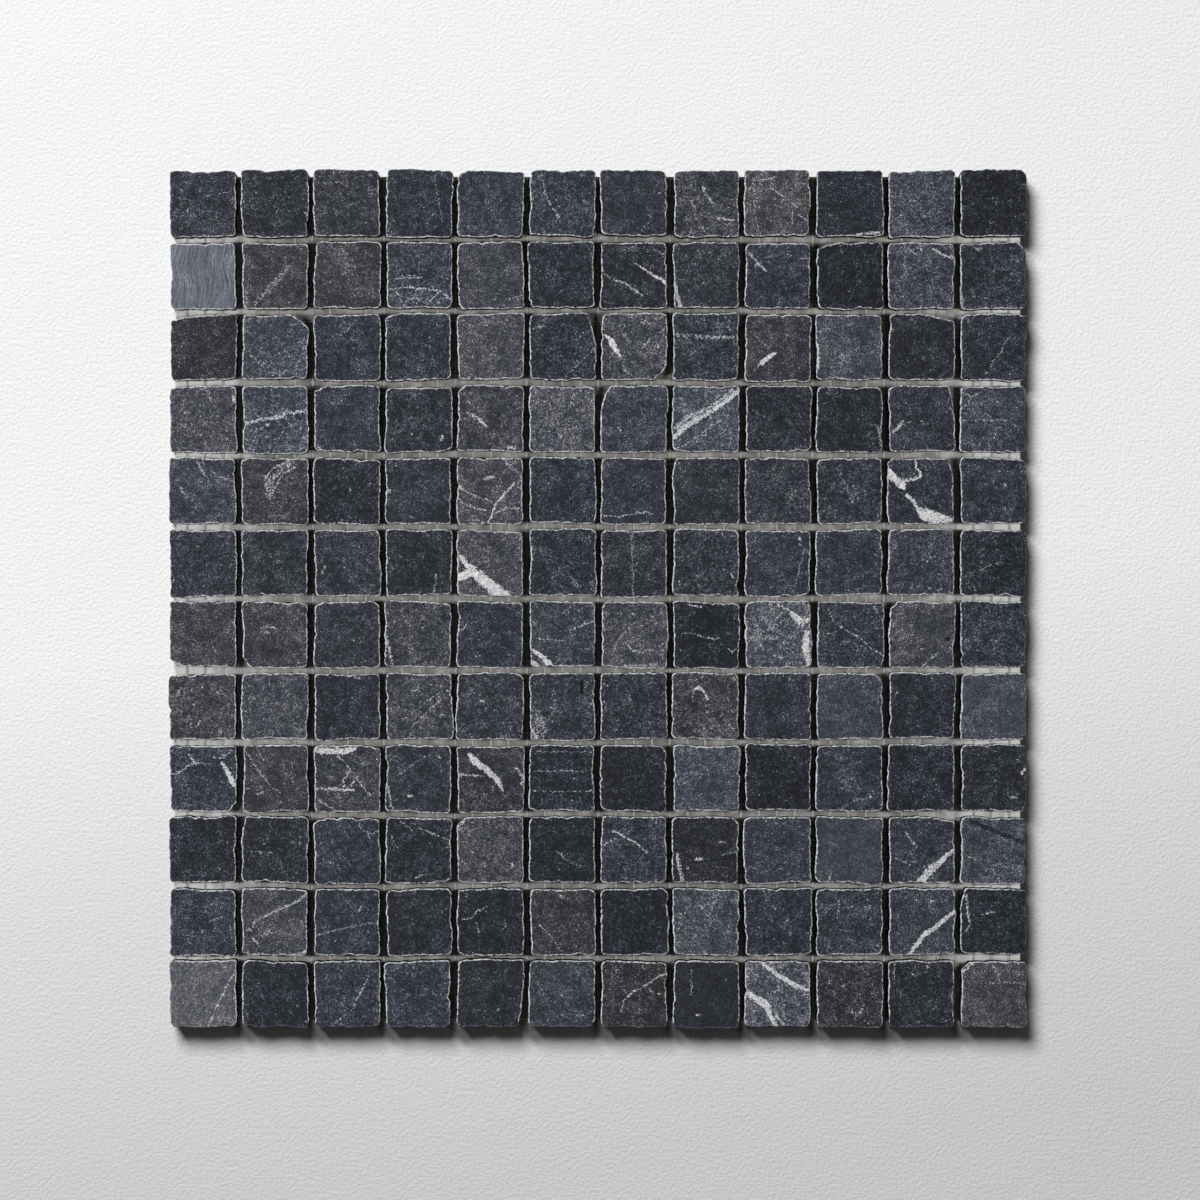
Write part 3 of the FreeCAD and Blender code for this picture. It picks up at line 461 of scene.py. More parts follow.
VEIN_GRADES = (3, 9, 15)
VEIN_SLOTS = VEIN_GRADES[-1]


def smooth_round(values, reach):
    """Gaussian smoothing round a closed outline: each row's spectrum times exp(-(2 pi f reach)^2 / 2)."""
    turns = np.fft.rfftfreq(values.shape[-1])
    return np.fft.irfft(np.fft.rfft(values) * np.exp(-((2 * np.pi * turns * reach) ** 2) / 2), values.shape[-1])


def rough_round(draw, size, reach, spread):
    """Even noise round closed outlines: random rows smoothed to a reach, then scaled to the wanted spread."""
    noise = smooth_round(draw.normal(0, 1, size), reach)
    return noise * spread / noise.std()


def chip_outlines(node):
    """The twelve worn outlines of a row, read from the wall points of its CAD node: parted by the pitch, ordered
    by angle about each chip's middle and resampled at even steps of the perimeter."""
    points = np.empty(len(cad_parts[node].data.vertices) * 3)
    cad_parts[node].data.vertices.foreach_get("co", points)
    points = points.reshape(-1, 3) / MM
    wall = points[(points[:, 2] > CHIP_BACK + 0.2) & (points[:, 2] < CHIP_FACE - 0.3)]
    column = np.floor(wall[:, 0] / PITCH + COLUMNS / 2)
    middles, outlines = [], []
    for k in range(COLUMNS):
        chip = np.unique(wall[column == k, :2].round(4), axis=0)
        middle = (chip.min(0) + chip.max(0)) / 2
        spokes = chip - middle
        spokes = spokes[np.argsort(np.arctan2(spokes[:, 1], spokes[:, 0]))]
        closed = np.concatenate([spokes, spokes[:1]])
        walked = np.concatenate([[0], np.cumsum(np.linalg.norm(np.diff(closed, axis=0), axis=1))])
        steps = np.linspace(0, walked[-1], ROUND_POINTS, endpoint=False)
        outlines.append([np.interp(steps, walked, closed[:, k]) for k in (0, 1)])
        middles.append(middle)
    return np.array(middles), np.array(outlines)


def worn_chips(draw, outlines):
    """Points of a row's chips, as (chip, ring, round, xyz) about each chip's middle. The outline is smoothed,
    then moved along its spokes by slow wander, quick crumble and a few knocks. A ring is the outline drawn in
    along the spokes by its inset, at its height: the arris is a quarter circle, whose radius changes round the
    chip, and the face falls by the pillow times exp(-inset / 2.5) towards it."""
    chips = len(outlines)
    spacing = 4 * 23.5 / ROUND_POINTS
    x, y = (smooth_round(outlines[:, k], CORNER_SOFTNESS / spacing) for k in (0, 1))
    radius = np.hypot(x, y)
    size = (chips, ROUND_POINTS)
    radius = radius - 0.1 + rough_round(draw, size, EDGE_WANDER_REACH / spacing, EDGE_WANDER)
    radius += rough_round(draw, size, EDGE_CRUMBLE_REACH / spacing, EDGE_CRUMBLE)
    knock_place = draw.uniform(0, ROUND_POINTS, (chips, 5, 1))
    knock_reach = draw.uniform(0.5, 1.6, (chips, 5, 1)) / spacing
    knock_depth = draw.uniform(0.0, 0.55, (chips, 5, 1))
    steps_away = np.abs((np.arange(ROUND_POINTS) - knock_place + ROUND_POINTS / 2) % ROUND_POINTS - ROUND_POINTS / 2)
    radius -= (knock_depth * np.exp(-((steps_away / knock_reach) ** 2))).sum(1)
    angle = np.arctan2(y, x)
    arris = ARRIS_RADIUS * np.exp(rough_round(draw, size, 1.2 / spacing, 0.35))
    lean = draw.normal(0, 0.004, (chips, 2, 1))
    drop = np.abs(draw.normal(0, 0.08, (chips, 1)))
    quarter = np.radians([0, 25, 50, 72, 90])
    rings = [(1.5, 0.0, "back"), (0.42, 0.03, "back"), (0.12, 0.14, "back"), (0.0, 0.42, "back"),
             (0.0, 3.4, "back"), (0.0, 6.8, "back")]
    rings += [(step, None, "arris") for step in quarter]
    rings += [(inset, None, "face") for inset in (0.5, 1.4, 3.0, 5.8)]
    made, edge = [], []
    for inset, height, zone in rings:
        if zone == "back":
            r = radius - inset
            if height > 0.3:
                r = r - np.abs(rough_round(draw, size, 1.6 / spacing, 0.12))
            z = np.full(size, CHIP_BACK + height)
            away = -(CHIP_FACE - CHIP_BACK - height) + np.zeros(size)
        else:
            into = arris * (1 - np.cos(inset)) if zone == "arris" else arris + inset
            r = radius - into
            below = arris * (1 - np.sin(inset)) if zone == "arris" else np.zeros(size)
            pillow = PILLOW * np.exp(-into / 2.5)
            lx, ly = r * np.cos(angle), r * np.sin(angle)
            z = CHIP_FACE - drop - below - pillow - np.abs(lean[:, 0]) * 12 - np.abs(lean[:, 1]) * 12
            z = z + lean[:, 0] * lx + lean[:, 1] * ly
            away = arris * (inset - np.pi / 4) if zone == "arris" else arris * np.pi / 4 + inset
        made.append(np.stack([r * np.cos(angle), r * np.sin(angle), z], -1))
        edge.append(away)
    return np.stack(made, 1), np.stack(edge, 1)


def chip_faces(chips, rings):
    """Faces of closed chips. Each chip's points are its back pole, its rings from back to face and its face pole:
    four-sided faces join neighbouring rings and three-sided ones join the end rings to the poles."""
    each = rings * ROUND_POINTS + 2
    start = (np.arange(chips) * each)[:, None, None]
    ring = start + 1 + (np.arange(rings) * ROUND_POINTS)[None, :, None]
    here, beside = np.arange(ROUND_POINTS), (np.arange(ROUND_POINTS) + 1) % ROUND_POINTS
    low, high = ring[:, :-1], ring[:, 1:]
    quads = np.stack([low + here, low + beside, high + beside, high + here], -1).reshape(-1, 4)
    back = np.stack(np.broadcast_arrays(start[:, 0], start[:, 0] + 1 + beside, start[:, 0] + 1 + here), -1)
    top, pole = ring[:, -1], start[:, 0] + each - 1
    face = np.stack(np.broadcast_arrays(pole, top + here, top + beside), -1)
    return quads, np.concatenate([back.reshape(-1, 3), face.reshape(-1, 3)])


def vein_segments(row, column):
    """A chip's strokes as segments (start x, y, half width), (end x, y, half width) and strength, one for each slot."""
    starts, ends = np.zeros((VEIN_SLOTS, 3)), np.zeros((VEIN_SLOTS, 3))
    starts[:, :2] = ends[:, :2] = 90.0
    strengths = np.zeros(VEIN_SLOTS)
    slot = 0
    for strength, *points in VEINS.get((row, column), []):
        for start, end in zip(points, points[1:]):
            if slot == VEIN_SLOTS:
                break
            starts[slot], ends[slot], strengths[slot] = start, end, strength
            slot += 1
    starts[:, 2] /= 2
    ends[:, 2] /= 2
    return starts, ends, strengths


def chip_character(draw, row, column):
    """A chip's tone against the average, its warmth and its smoothness, by chance and by the lists above."""
    chip = (row, column)
    tone = float(np.clip(draw.normal(1.0, 0.08), 0.85, 1.15))
    for names, shift in ((PALE, 1.78), (PALISH, 1.48), (GREYISH, 1.27), (PLAIN, 1.13), (DARKISH, 0.78), (DARK, 0.66)):
        if chip in names:
            tone = shift + (tone - 1) * 0.4
    warmth = draw.uniform(0.4, 0.6) if chip in WARM else draw.uniform(0.0, 0.2)
    warmth += 0.3 * (chip in WARMISH)
    smoothness = draw.uniform(0.55, 0.8) if chip in SMOOTH else draw.uniform(0.0, 0.25)
    if chip == HONED:
        tone, warmth, smoothness = 1.9, 0.0, 1.3
    return tone * (1 + 0.2 * smoothness), warmth, smoothness


def vein_segment_group():
    """Cover of one tapering segment: 1 on its line, 0 beyond its half width, from the distance between the place
    and the nearest point of the segment."""
    group = bpy.data.node_groups.new("vein_segment", "ShaderNodeTree")
    for name in ("Place", "Start", "End"):
        group.interface.new_socket(name=name, in_out="INPUT", socket_type="NodeSocketVector")
    group.interface.new_socket(name="Cover", in_out="OUTPUT", socket_type="NodeSocketFloat")
    given = group.nodes.new("NodeGroupInput").outputs
    flat_start = add_node(group, "VectorMath", {0: given["Start"], 1: (1, 1, 0)}, operation="MULTIPLY")
    flat_end = add_node(group, "VectorMath", {0: given["End"], 1: (1, 1, 0)}, operation="MULTIPLY")
    run = add_node(group, "VectorMath", {0: flat_end, 1: flat_start}, operation="SUBTRACT")
    offset = add_node(group, "VectorMath", {0: given["Place"], 1: flat_start}, operation="SUBTRACT")
    reached = add_node(group, "VectorMath", {0: offset, 1: run}, operation="DOT_PRODUCT").outputs["Value"]
    length = add_node(group, "VectorMath", {0: run, 1: run}, operation="DOT_PRODUCT").outputs["Value"]
    length = add_node(group, "Math", {0: length, 1: 0.0001}, operation="ADD")
    share = add_node(group, "Math", {0: reached, 1: length}, operation="DIVIDE", use_clamp=True)
    foot = add_node(group, "VectorMath", {0: run, "Scale": share}, operation="SCALE")
    gap = add_node(group, "VectorMath", {0: offset, 1: foot}, operation="DISTANCE").outputs["Value"]
    width_start = add_node(group, "SeparateXYZ", {0: given["Start"]}).outputs["Z"]
    width_end = add_node(group, "SeparateXYZ", {0: given["End"]}).outputs["Z"]
    half = add_node(group, "Mix", {0: share, 2: width_start, 3: width_end})
    inner = add_node(group, "Math", {0: half, 1: 0.72}, operation="MULTIPLY")
    outer = add_node(group, "Math", {0: half, 1: 1.2, 2: 0.1}, operation="MULTIPLY_ADD")
    cover = add_node(group, "MapRange", {"Value": gap, "From Min": inner, "From Max": outer, "To Min": 1.0,
                                         "To Max": 0.0}, interpolation_type="SMOOTHSTEP")
    out = group.nodes.new("NodeGroupOutput")
    group.links.new(cover.outputs[0], out.inputs["Cover"])
    return group


def colour_ramp(tree, value, stops):
    """A colour ramp that reads a brightness and gives the finish's colour at each of its stops."""
    ramp = add_node(tree, "ValToRGB", {"Fac": value})
    elements = ramp.color_ramp.elements
    while len(elements) < len(stops):
        elements.new(0.5)
    for element, (position, colour) in zip(elements, stops):
        element.position = position
        element.color = linear(colour)
    return ramp


def dark_marble(name, slots):
    """Tumbled dark limestone marble: bluish charcoal with clouds, fine pale fossil strokes and specks, white
    calcite veins in a number of slots, brownish patches, pale bruised arrises and a dull, finely pitted face.
    Pattern scales are features per millimetre."""
    marble = bpy.data.materials.new(name)
    marble.use_nodes = True
    tree = marble.node_tree
    shader = tree.nodes["Principled BSDF"]

    def stored(attribute):
        return add_node(tree, "Attribute", attribute_name=attribute, attribute_type="GEOMETRY").outputs["Vector"]

    def swing(value, low, high, reach):
        return add_node(tree, "MapRange", {"Value": value, "From Min": low, "From Max": high, "To Min": -reach,
                                           "To Max": reach}, clamp=False)

    def step(value, low, high, start=0.0, end=1.0):
        return add_node(tree, "MapRange", {"Value": value, "From Min": low, "From Max": high, "To Min": start,
                                           "To Max": end})

    def math(operation, *values):
        return add_node(tree, "Math", dict(enumerate(values)), operation=operation)

    block, local, brush = stored("block"), stored("local"), stored("brush")
    edge, bruise, tone = add_node(tree, "SeparateXYZ", {0: stored("wear")}).outputs
    warmth, smoothness, _ = add_node(tree, "SeparateXYZ", {0: stored("finish")}).outputs

    # Clouds of 7 mm, mottling of 2 mm and grain of 0.6 mm lift or sink the brightness by shares of itself
    clouds = add_node(tree, "TexNoise", {"Vector": block, "Scale": 0.14, "Detail": 2.0})
    mottle = add_node(tree, "TexNoise", {"Vector": block, "Scale": 0.5, "Detail": 2.0, "Roughness": 0.6})
    grain = add_node(tree, "TexNoise", {"Vector": block, "Scale": 2.0, "Detail": 1.0, "Roughness": 0.8})
    brushed = add_node(tree, "TexNoise", {"Vector": brush, "Scale": 1.0, "Detail": 2.0, "Roughness": 0.6})
    rough_part = step(smoothness, 0.0, 1.3, 1.0, 0.2)
    mottle_lift = swing(mottle, 0.25, 0.75, 0.26)
    grain_lift = swing(grain, 0.25, 0.75, 0.72)
    rough_lift = math("MULTIPLY", math("ADD", mottle_lift, grain_lift), rough_part)
    brush_lift = math("MULTIPLY", swing(brushed, 0.3, 0.7, 0.26), smoothness)
    cloud_lift = math("MULTIPLY", swing(clouds, 0.3, 0.7, 0.22), step(smoothness, 0.0, 1.0, 1.0, 0.25))
    lift = math("ADD", math("ADD", cloud_lift, rough_lift), brush_lift)

    # Fossil debris: thin strokes where a bent noise passes its middle value, broken by the grain and gathered
    # where the mottling and the clouds are pale
    bend = add_node(tree, "TexNoise", {"Vector": block, "Scale": 0.62, "Detail": 1.0, "Distortion": 0.8})
    bend_off = math("ABSOLUTE", math("SUBTRACT", bend, 0.5))
    gathering = step(math("ADD", mottle, clouds), 0.88, 1.2, 0.1, 1.0)
    stroke = math("MULTIPLY", step(bend_off, 0.01, 0.03, 1.0, 0.0), step(grain, 0.45, 0.6))
    hairs = add_node(tree, "TexNoise", {"Vector": block, "Scale": 1.3, "Detail": 0.0, "Distortion": 0.5})
    hair = step(math("ABSOLUTE", math("SUBTRACT", hairs, 0.5)), 0.01, 0.05, 0.7, 0.0)
    hair = math("MULTIPLY", hair, step(bend, 0.48, 0.62))
    stroke = math("MULTIPLY", math("ADD", math("MULTIPLY", stroke, gathering), hair), rough_part)

    # Specks: a bright crystal of about 0.4 mm in some of the cells of a Voronoi pattern
    cells = add_node(tree, "TexVoronoi", {"Vector": block, "Scale": 0.95, "Randomness": 1.0})
    chance = add_node(tree, "SeparateXYZ", {0: cells.outputs["Color"]}).outputs["X"]
    speck_size = step(chance, 0.5, 1.0, 0.0, 0.3)
    speck = add_node(tree, "MapRange", {"Value": cells.outputs["Distance"], "From Min": math("MULTIPLY", speck_size, 0.5),
                                        "From Max": speck_size, "To Min": 1.0, "To Max": 0.0})
    speck = math("MULTIPLY", speck, math("MULTIPLY", gathering, rough_part))

    # Veins: the place is bent by a noise before its distance to each segment is taken
    wobble = add_node(tree, "TexNoise", {"Vector": block, "Scale": 0.8, "Detail": 3.0, "Roughness": 0.7})
    wobble = add_node(tree, "VectorMath", {0: wobble.outputs["Color"], 1: (0.5, 0.5, 0.5)}, operation="SUBTRACT")
    wobble = add_node(tree, "VectorMath", {0: wobble, 1: (2.4, 2.4, 0)}, operation="MULTIPLY")
    flat_local = add_node(tree, "VectorMath", {0: local, 1: (1, 1, 0)}, operation="MULTIPLY")
    bent_place = add_node(tree, "VectorMath", {0: flat_local, 1: wobble}, operation="ADD")
    vein, dark = 0.0, 0.0
    for slot in range(slots):
        if slot % 3 == 0:
            strengths = add_node(tree, "SeparateXYZ", {0: stored(f"vein_strength_{slot // 3}")}).outputs
        segment = add_node(tree, "Group", node_tree=segment_group)
        tree.links.new(bent_place.outputs[0], segment.inputs["Place"])
        tree.links.new(stored(f"vein_start_{slot}"), segment.inputs["Start"])
        tree.links.new(stored(f"vein_end_{slot}"), segment.inputs["End"])
        cover = math("MULTIPLY", segment, strengths[slot % 3])
        vein, dark = math("MAXIMUM", vein, cover), math("MINIMUM", dark, cover)
    # The grain tears the veins: a strong one stays nearly whole, a faint one is left as scattered flecks
    torn = math("MULTIPLY_ADD", vein, 0.33, grain)
    vein_cover = math("MULTIPLY", step(torn, 0.58, 0.7), step(vein, 0.0, 0.15))
    vein_value = math("MULTIPLY_ADD", mottle_lift, 0.6, step(vein, 0.2, 1.0, 0.5, 0.88))
    vein_value = math("MULTIPLY_ADD", grain_lift, 0.3, vein_value)

    # Bruised arris: a pale crushed line of about 0.4 mm, wider and narrower by noise and broken in places
    edge_noise = add_node(tree, "TexNoise", {"Vector": block, "Scale": 0.9, "Detail": 2.0, "Roughness": 0.7})
    band_half = step(edge_noise, 0.32, 0.6, 0.08, 0.4)
    band_outer = math("MULTIPLY_ADD", band_half, 1.3, 0.14)
    edge_off = math("ABSOLUTE", math("ADD", edge, 0.05))
    band = add_node(tree, "MapRange", {"Value": edge_off, "From Min": math("MULTIPLY", band_half, 0.6),
                                       "From Max": band_outer, "To Min": 1.0, "To Max": 0.0})
    band = math("MULTIPLY", math("MULTIPLY", band, bruise), step(edge_noise, 0.28, 0.54, 0.36, 1.0))

    # The value is the stone's brightness as the eye sees it, from 0, black, to 1, white
    value = math("MULTIPLY", math("MULTIPLY", math("EXPONENT", lift), tone), 0.17)
    value = math("MULTIPLY_ADD", stroke, 0.42, value)
    value = math("MULTIPLY_ADD", speck, 0.6, value)
    # Painted shade: down the chips' sides the stone is darkened, to 0.6 of its value from about 2.5 mm below the arris,
    # so that the walls in the joints stay dark; the dark strokes act on the face and arris only
    value = math("MULTIPLY", value, math("MULTIPLY_ADD", dark, step(edge, -1.0, 0.0), step(edge, -2.5, -0.8, 0.6, 1.0)))
    value = add_node(tree, "Mix", {0: band, 2: value, 3: 0.98})
    value = add_node(tree, "Mix", {0: vein_cover, 2: value, 3: vein_value})
    cool = colour_ramp(tree, value, [(0.0, "#07080b"), (0.12, "#1a1e26"), (0.25, "#393f4b"), (0.4, "#5f6572"),
                                     (0.6, "#9498a1"), (0.8, "#c9cbcf"), (1.0, "#f6f5f4")])
    warm = colour_ramp(tree, value, [(0.0, "#090809"), (0.12, "#211c20"), (0.25, "#443d3d"), (0.4, "#6b6463"),
                                     (0.6, "#9b969a"), (0.8, "#ccc9cc"), (1.0, "#f6f5f4")])
    warm_part = math("MULTIPLY", step(clouds, 0.4, 0.6, 0.6, 1.0), warmth)
    colour = add_node(tree, "Mix", {0: warm_part, 6: cool, 7: warm}, data_type="RGBA").outputs[2]
    tree.links.new(colour, shader.inputs["Base Color"])
    tree.links.new(step(smoothness, 0.0, 1.3, 0.72, 0.5).outputs[0], shader.inputs["Roughness"])
    pits = add_node(tree, "Bump", {"Height": math("ADD", mottle_lift, grain_lift), "Distance": 0.00016,
                                   "Strength": 0.7})
    tree.links.new(pits.outputs[0], shader.inputs["Normal"])
    shader.inputs["IOR"].default_value = 1.5
    shader.inputs["Specular IOR Level"].default_value = 0.25
    return marble


def glued_back(name):
    """The chips' sawn backs: a greyer, rough marble with saw lines, and milky, half clear glue that was pressed
    out for about a millimetre beside each thread of the net."""
    back = bpy.data.materials.new(name)
    back.use_nodes = True
    tree = back.node_tree
    shader = tree.nodes["Principled BSDF"]
    brushing = add_node(tree, "Attribute", attribute_name="brush", attribute_type="GEOMETRY").outputs["Vector"]
    saw_lines = add_node(tree, "TexNoise", {"Vector": brushing, "Scale": 0.8, "Detail": 3.0, "Roughness": 0.7})
    stone = colour_ramp(tree, saw_lines, [(0.25, "#2c2f35"), (0.5, "#484b52"), (0.75, "#6a6d74")])
    place = add_node(tree, "TexCoord").outputs["Object"]
    place = add_node(tree, "VectorMath", {0: place, "Scale": 1 / MM}, operation="SCALE")
    x, y, _ = add_node(tree, "SeparateXYZ", {0: place}).outputs
    half_spacing = THREAD_SPACING / 2
    off_upright = add_node(tree, "Math", {0: x, 1: half_spacing}, operation="PINGPONG")
    off_cross = add_node(tree, "Math", {0: y, 1: half_spacing}, operation="PINGPONG")
    off_cross = add_node(tree, "Math", {0: half_spacing, 1: off_cross}, operation="SUBTRACT")
    off_thread = add_node(tree, "Math", {0: off_upright, 1: off_cross}, operation="MINIMUM")
    spread = add_node(tree, "TexNoise", {"Vector": place, "Scale": 0.35, "Detail": 3.0, "Roughness": 0.6})
    reach = add_node(tree, "MapRange", {"Value": spread, "From Min": 0.3, "From Max": 0.7, "To Min": 0.3,
                                        "To Max": 2.2})
    past = add_node(tree, "Math", {0: off_thread, 1: reach}, operation="SUBTRACT")
    glue = add_node(tree, "MapRange", {"Value": past, "From Min": -0.3, "From Max": 0.2, "To Min": 0.7,
                                       "To Max": 0.0})
    colour = add_node(tree, "Mix", {0: glue, 6: stone, 7: linear("#c4c0b4")}, data_type="RGBA").outputs[2]
    tree.links.new(colour, shader.inputs["Base Color"])
    dullness = add_node(tree, "MapRange", {"Value": glue, "From Max": 0.7, "To Min": 0.8, "To Max": 0.3})
    tree.links.new(dullness.outputs[0], shader.inputs["Roughness"])
    relief = add_node(tree, "Math", {0: glue, 1: 3.0, 2: saw_lines}, operation="MULTIPLY_ADD")
    bump = add_node(tree, "Bump", {"Height": relief, "Distance": 0.0001, "Strength": 0.6})
    tree.links.new(bump.outputs[0], shader.inputs["Normal"])
    shader.inputs["IOR"].default_value = 1.5
    return back


# Three grades of the same marble, by how many vein segments a chip can show, and then its back
segment_group = vein_segment_group()
marbles = [dark_marble(f"tumbled_dark_marble_{slots}", slots) for slots in VEIN_GRADES]
marbles.append(glued_back("sawn_marble_with_glue"))

chip_draw = np.random.default_rng(CHIP_SEED)
for row in range(1, ROWS + 1):
    node = f"tile_row_{row:02d}"
    middles, outlines = chip_outlines(node)
    rings, away = worn_chips(chip_draw, outlines)
    chips, ring_total = rings.shape[:2]
    poles = rings[:, [0, -1]].mean(2)
    poles[:, :, :2] = 0
    inner = np.concatenate([poles[:, :1], rings.reshape(chips, -1, 3), poles[:, 1:]], 1)
    deep = np.full((chips, 1), -10.0)
    edge_away = np.concatenate([deep, away.reshape(chips, -1), np.full((chips, 1), 11.0)], 1)
    placed = inner + np.concatenate([middles, np.zeros((chips, 1))], 1)[:, None, :]
    quads, triangles = chip_faces(chips, ring_total)
    piece = closed_mesh(f"stone_row_{row:02d}", placed.reshape(-1, 3), quads, triangles)
    points = inner.shape[1]
    characters = np.array([chip_character(chip_draw, row, column) for column in range(1, chips + 1)])
    # Sides on the sheet's border were not rubbed by a neighbour and carry less of the pale bruise
    bruise_part = np.ones((chips, points))
    border = []
    border += [inner[..., 1] > 10.2] if row == 1 else []
    border += [inner[..., 1] < -10.2] if row == ROWS else []
    for side in border:
        bruise_part[side] = 0.3
    bruise_part[0][inner[0, :, 0] < -10.2] = 0.3
    bruise_part[-1][inner[-1, :, 0] > 10.2] = 0.3
    wear_values = np.stack([edge_away, bruise_part, np.repeat(characters[:, :1], points, 1)], -1)
    offsets = chip_draw.uniform(0, 900, (chips, 1, 3))
    turn = chip_draw.uniform(0, np.pi, (chips, 1))
    if row == HONED[0]:
        turn[HONED[1] - 1] = 0.0
    along = inner[..., 0] * np.cos(turn) + inner[..., 1] * np.sin(turn)
    across = inner[..., 1] * np.cos(turn) - inner[..., 0] * np.sin(turn)
    brushing = np.stack([along * 3.2 + 2 * np.sin(across * 0.45), across * 0.1, np.zeros_like(along)], -1) + offsets
    finish_values = np.concatenate([characters[:, 1:], np.zeros((chips, 1))], 1)
    give(piece, "block", inner + offsets)
    give(piece, "local", inner)
    give(piece, "brush", brushing)
    give(piece, "wear", wear_values)
    give(piece, "finish", np.repeat(finish_values, points, 0))
    segments = [vein_segments(row, column) for column in range(1, chips + 1)]
    starts, ends, strengths = (np.array(part) for part in zip(*segments))
    for slot in range(VEIN_SLOTS):
        give(piece, f"vein_start_{slot}", np.repeat(starts[:, slot], points, 0))
        give(piece, f"vein_end_{slot}", np.repeat(ends[:, slot], points, 0))
    for third in range(VEIN_SLOTS // 3):
        give(piece, f"vein_strength_{third}", np.repeat(strengths[:, 3 * third : 3 * third + 3], points, 0))
    for marble in marbles:
        piece.data.materials.append(marble)
    grade = np.searchsorted(VEIN_GRADES, (strengths != 0).sum(1))
    quad_finish = np.repeat(grade, len(quads) // chips).reshape(chips, -1, ROUND_POINTS)
    quad_finish[:, :BACK_RINGS] = len(marbles) - 1
    triangle_finish = np.repeat([np.full(chips, len(marbles) - 1), grade], ROUND_POINTS)
    finishes = np.concatenate([quad_finish.ravel(), triangle_finish])
    piece.data.polygons.foreach_set("material_index", finishes.astype(np.int32))
    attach(piece, "root")
    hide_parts(node)

# The studio: a pale plastered floor, a soft key light from the upper left, two low lights beside the sheet and
# a camera that looks straight down
FLOOR_SIZE = 6.0
SHELTERED_SIZE = 0.3
CAMERA_HEIGHT = 1.88
PHOTO_WIDTH_AT_FACE = 0.4243
SENSOR = 36.0
BACKGROUND = "#f4f4f5"

half_floor, half_patch = FLOOR_SIZE / 2, SHELTERED_SIZE / 2
corner_signs = np.array([(-1, -1), (1, -1), (1, 1), (-1, 1)])
floor_corners = np.zeros((8, 3))
floor_corners[:4, :2], floor_corners[4:, :2] = corner_signs * half_floor, corner_signs * half_patch
floor_mesh = bpy.data.meshes.new("floor")
floor_mesh.from_pydata(floor_corners.tolist(), [], [(k, (k + 1) % 4, (k + 1) % 4 + 4, k + 4) for k in range(4)])
sheltered_mesh = bpy.data.meshes.new("sheltered_floor")
sheltered_mesh.from_pydata(floor_corners[4:].tolist(), [], [(0, 1, 2, 3)])
floor = bpy.data.objects.new("floor", floor_mesh)
sheltered = bpy.data.objects.new("sheltered_floor", sheltered_mesh)
for part in (floor, sheltered):
    bpy.context.scene.collection.objects.link(part)
plaster = bpy.data.materials.new("painted_plaster")
plaster.use_nodes = True
tree = plaster.node_tree
shader = tree.nodes["Principled BSDF"]
shader.inputs["Roughness"].default_value = 0.9
shader.inputs["Specular IOR Level"].default_value = 0.1
floor_place = add_node(tree, "TexCoord").outputs["Object"]
plaster_grain = add_node(tree, "TexNoise", {"Vector": floor_place, "Scale": 820.0, "Detail": 3.0,
                                            "Roughness": 0.55})
plaster_bump = add_node(tree, "Bump", {"Height": plaster_grain, "Distance": 0.0011, "Strength": 0.42})
tree.links.new(plaster_bump.outputs[0], shader.inputs["Normal"])
# Painted shade: the floor's colour darkens below the sheet, a little more so to the right, for the way the light falls
# off across the wall
floor_spot = add_node(tree, "SeparateXYZ", {0: floor_place})
up = add_node(tree, "Math", {0: floor_spot.outputs["Y"], 1: 2.5, 2: 0.5}, operation="MULTIPLY_ADD")
up = add_node(tree, "Math", {0: floor_spot.outputs["X"], 1: -0.3, 2: up}, operation="MULTIPLY_ADD")
floor_colour = colour_ramp(tree, up, [(0.0, "#e2e2e3"), (0.25, "#ededee"), (0.5, "#fefefe"), (1.0, "#f7f7f8")])
# Painted shadow: the floor is darkened below the mouths of the joints along the sheet's lower edge, where light through
# the joints would otherwise lighten the sheet's shadow
lean = add_node(tree, "Math", {0: floor_spot.outputs["Y"], 1: 0.58, 2: 0.08816}, operation="MULTIPLY_ADD")
off_joint = add_node(tree, "Math", {0: floor_spot.outputs["X"], 1: lean}, operation="ADD")
off_joint = add_node(tree, "Math", {0: off_joint, 1: PITCH * MM / 2}, operation="PINGPONG")
off_middle = add_node(tree, "Math", {0: floor_spot.outputs["X"]}, operation="ABSOLUTE")
painted_joint_shadow = 1.0
for spot, low, high, start, end in ((off_joint, 0.0002, 0.0042, 0.76, 0.0), (off_middle, 0.143, 0.145, 1.0, 0.0),
                                    (floor_spot.outputs["Y"], -0.1608, -0.1555, 0.0, 1.0),
                                    (floor_spot.outputs["Y"], -0.145, -0.14, 1.0, 0.0)):
    part = add_node(tree, "MapRange", {"Value": spot, "From Min": low, "From Max": high, "To Min": start,
                                       "To Max": end}, interpolation_type="SMOOTHSTEP")
    painted_joint_shadow = add_node(tree, "Math", {0: painted_joint_shadow, 1: part}, operation="MULTIPLY")
floor_colour = add_node(tree, "Mix", {0: painted_joint_shadow, 6: floor_colour, 7: linear("#55534f")}, data_type="RGBA").outputs[2]
tree.links.new(floor_colour, shader.inputs["Base Color"])
# Far from the sheet it passes into the pale background, so that a low view shows no dark horizon
away = add_node(tree, "VectorMath", {0: floor_place}, operation="LENGTH").outputs["Value"]
away = add_node(tree, "MapRange", {"Value": away, "From Min": 0.4, "From Max": 1.4}, interpolation_type="SMOOTHSTEP")
away = add_node(tree, "Math", {0: away, 1: add_node(tree, "LightPath").outputs["Is Camera Ray"]}, operation="MULTIPLY")
pale = add_node(tree, "Emission", {"Color": linear(BACKGROUND)})
floor_shader = add_node(tree, "MixShader", {0: away, 1: shader, 2: pale})
tree.links.new(floor_shader.outputs[0], tree.nodes["Material Output"].inputs["Surface"])
plaster.cycles.emission_sampling = "NONE"
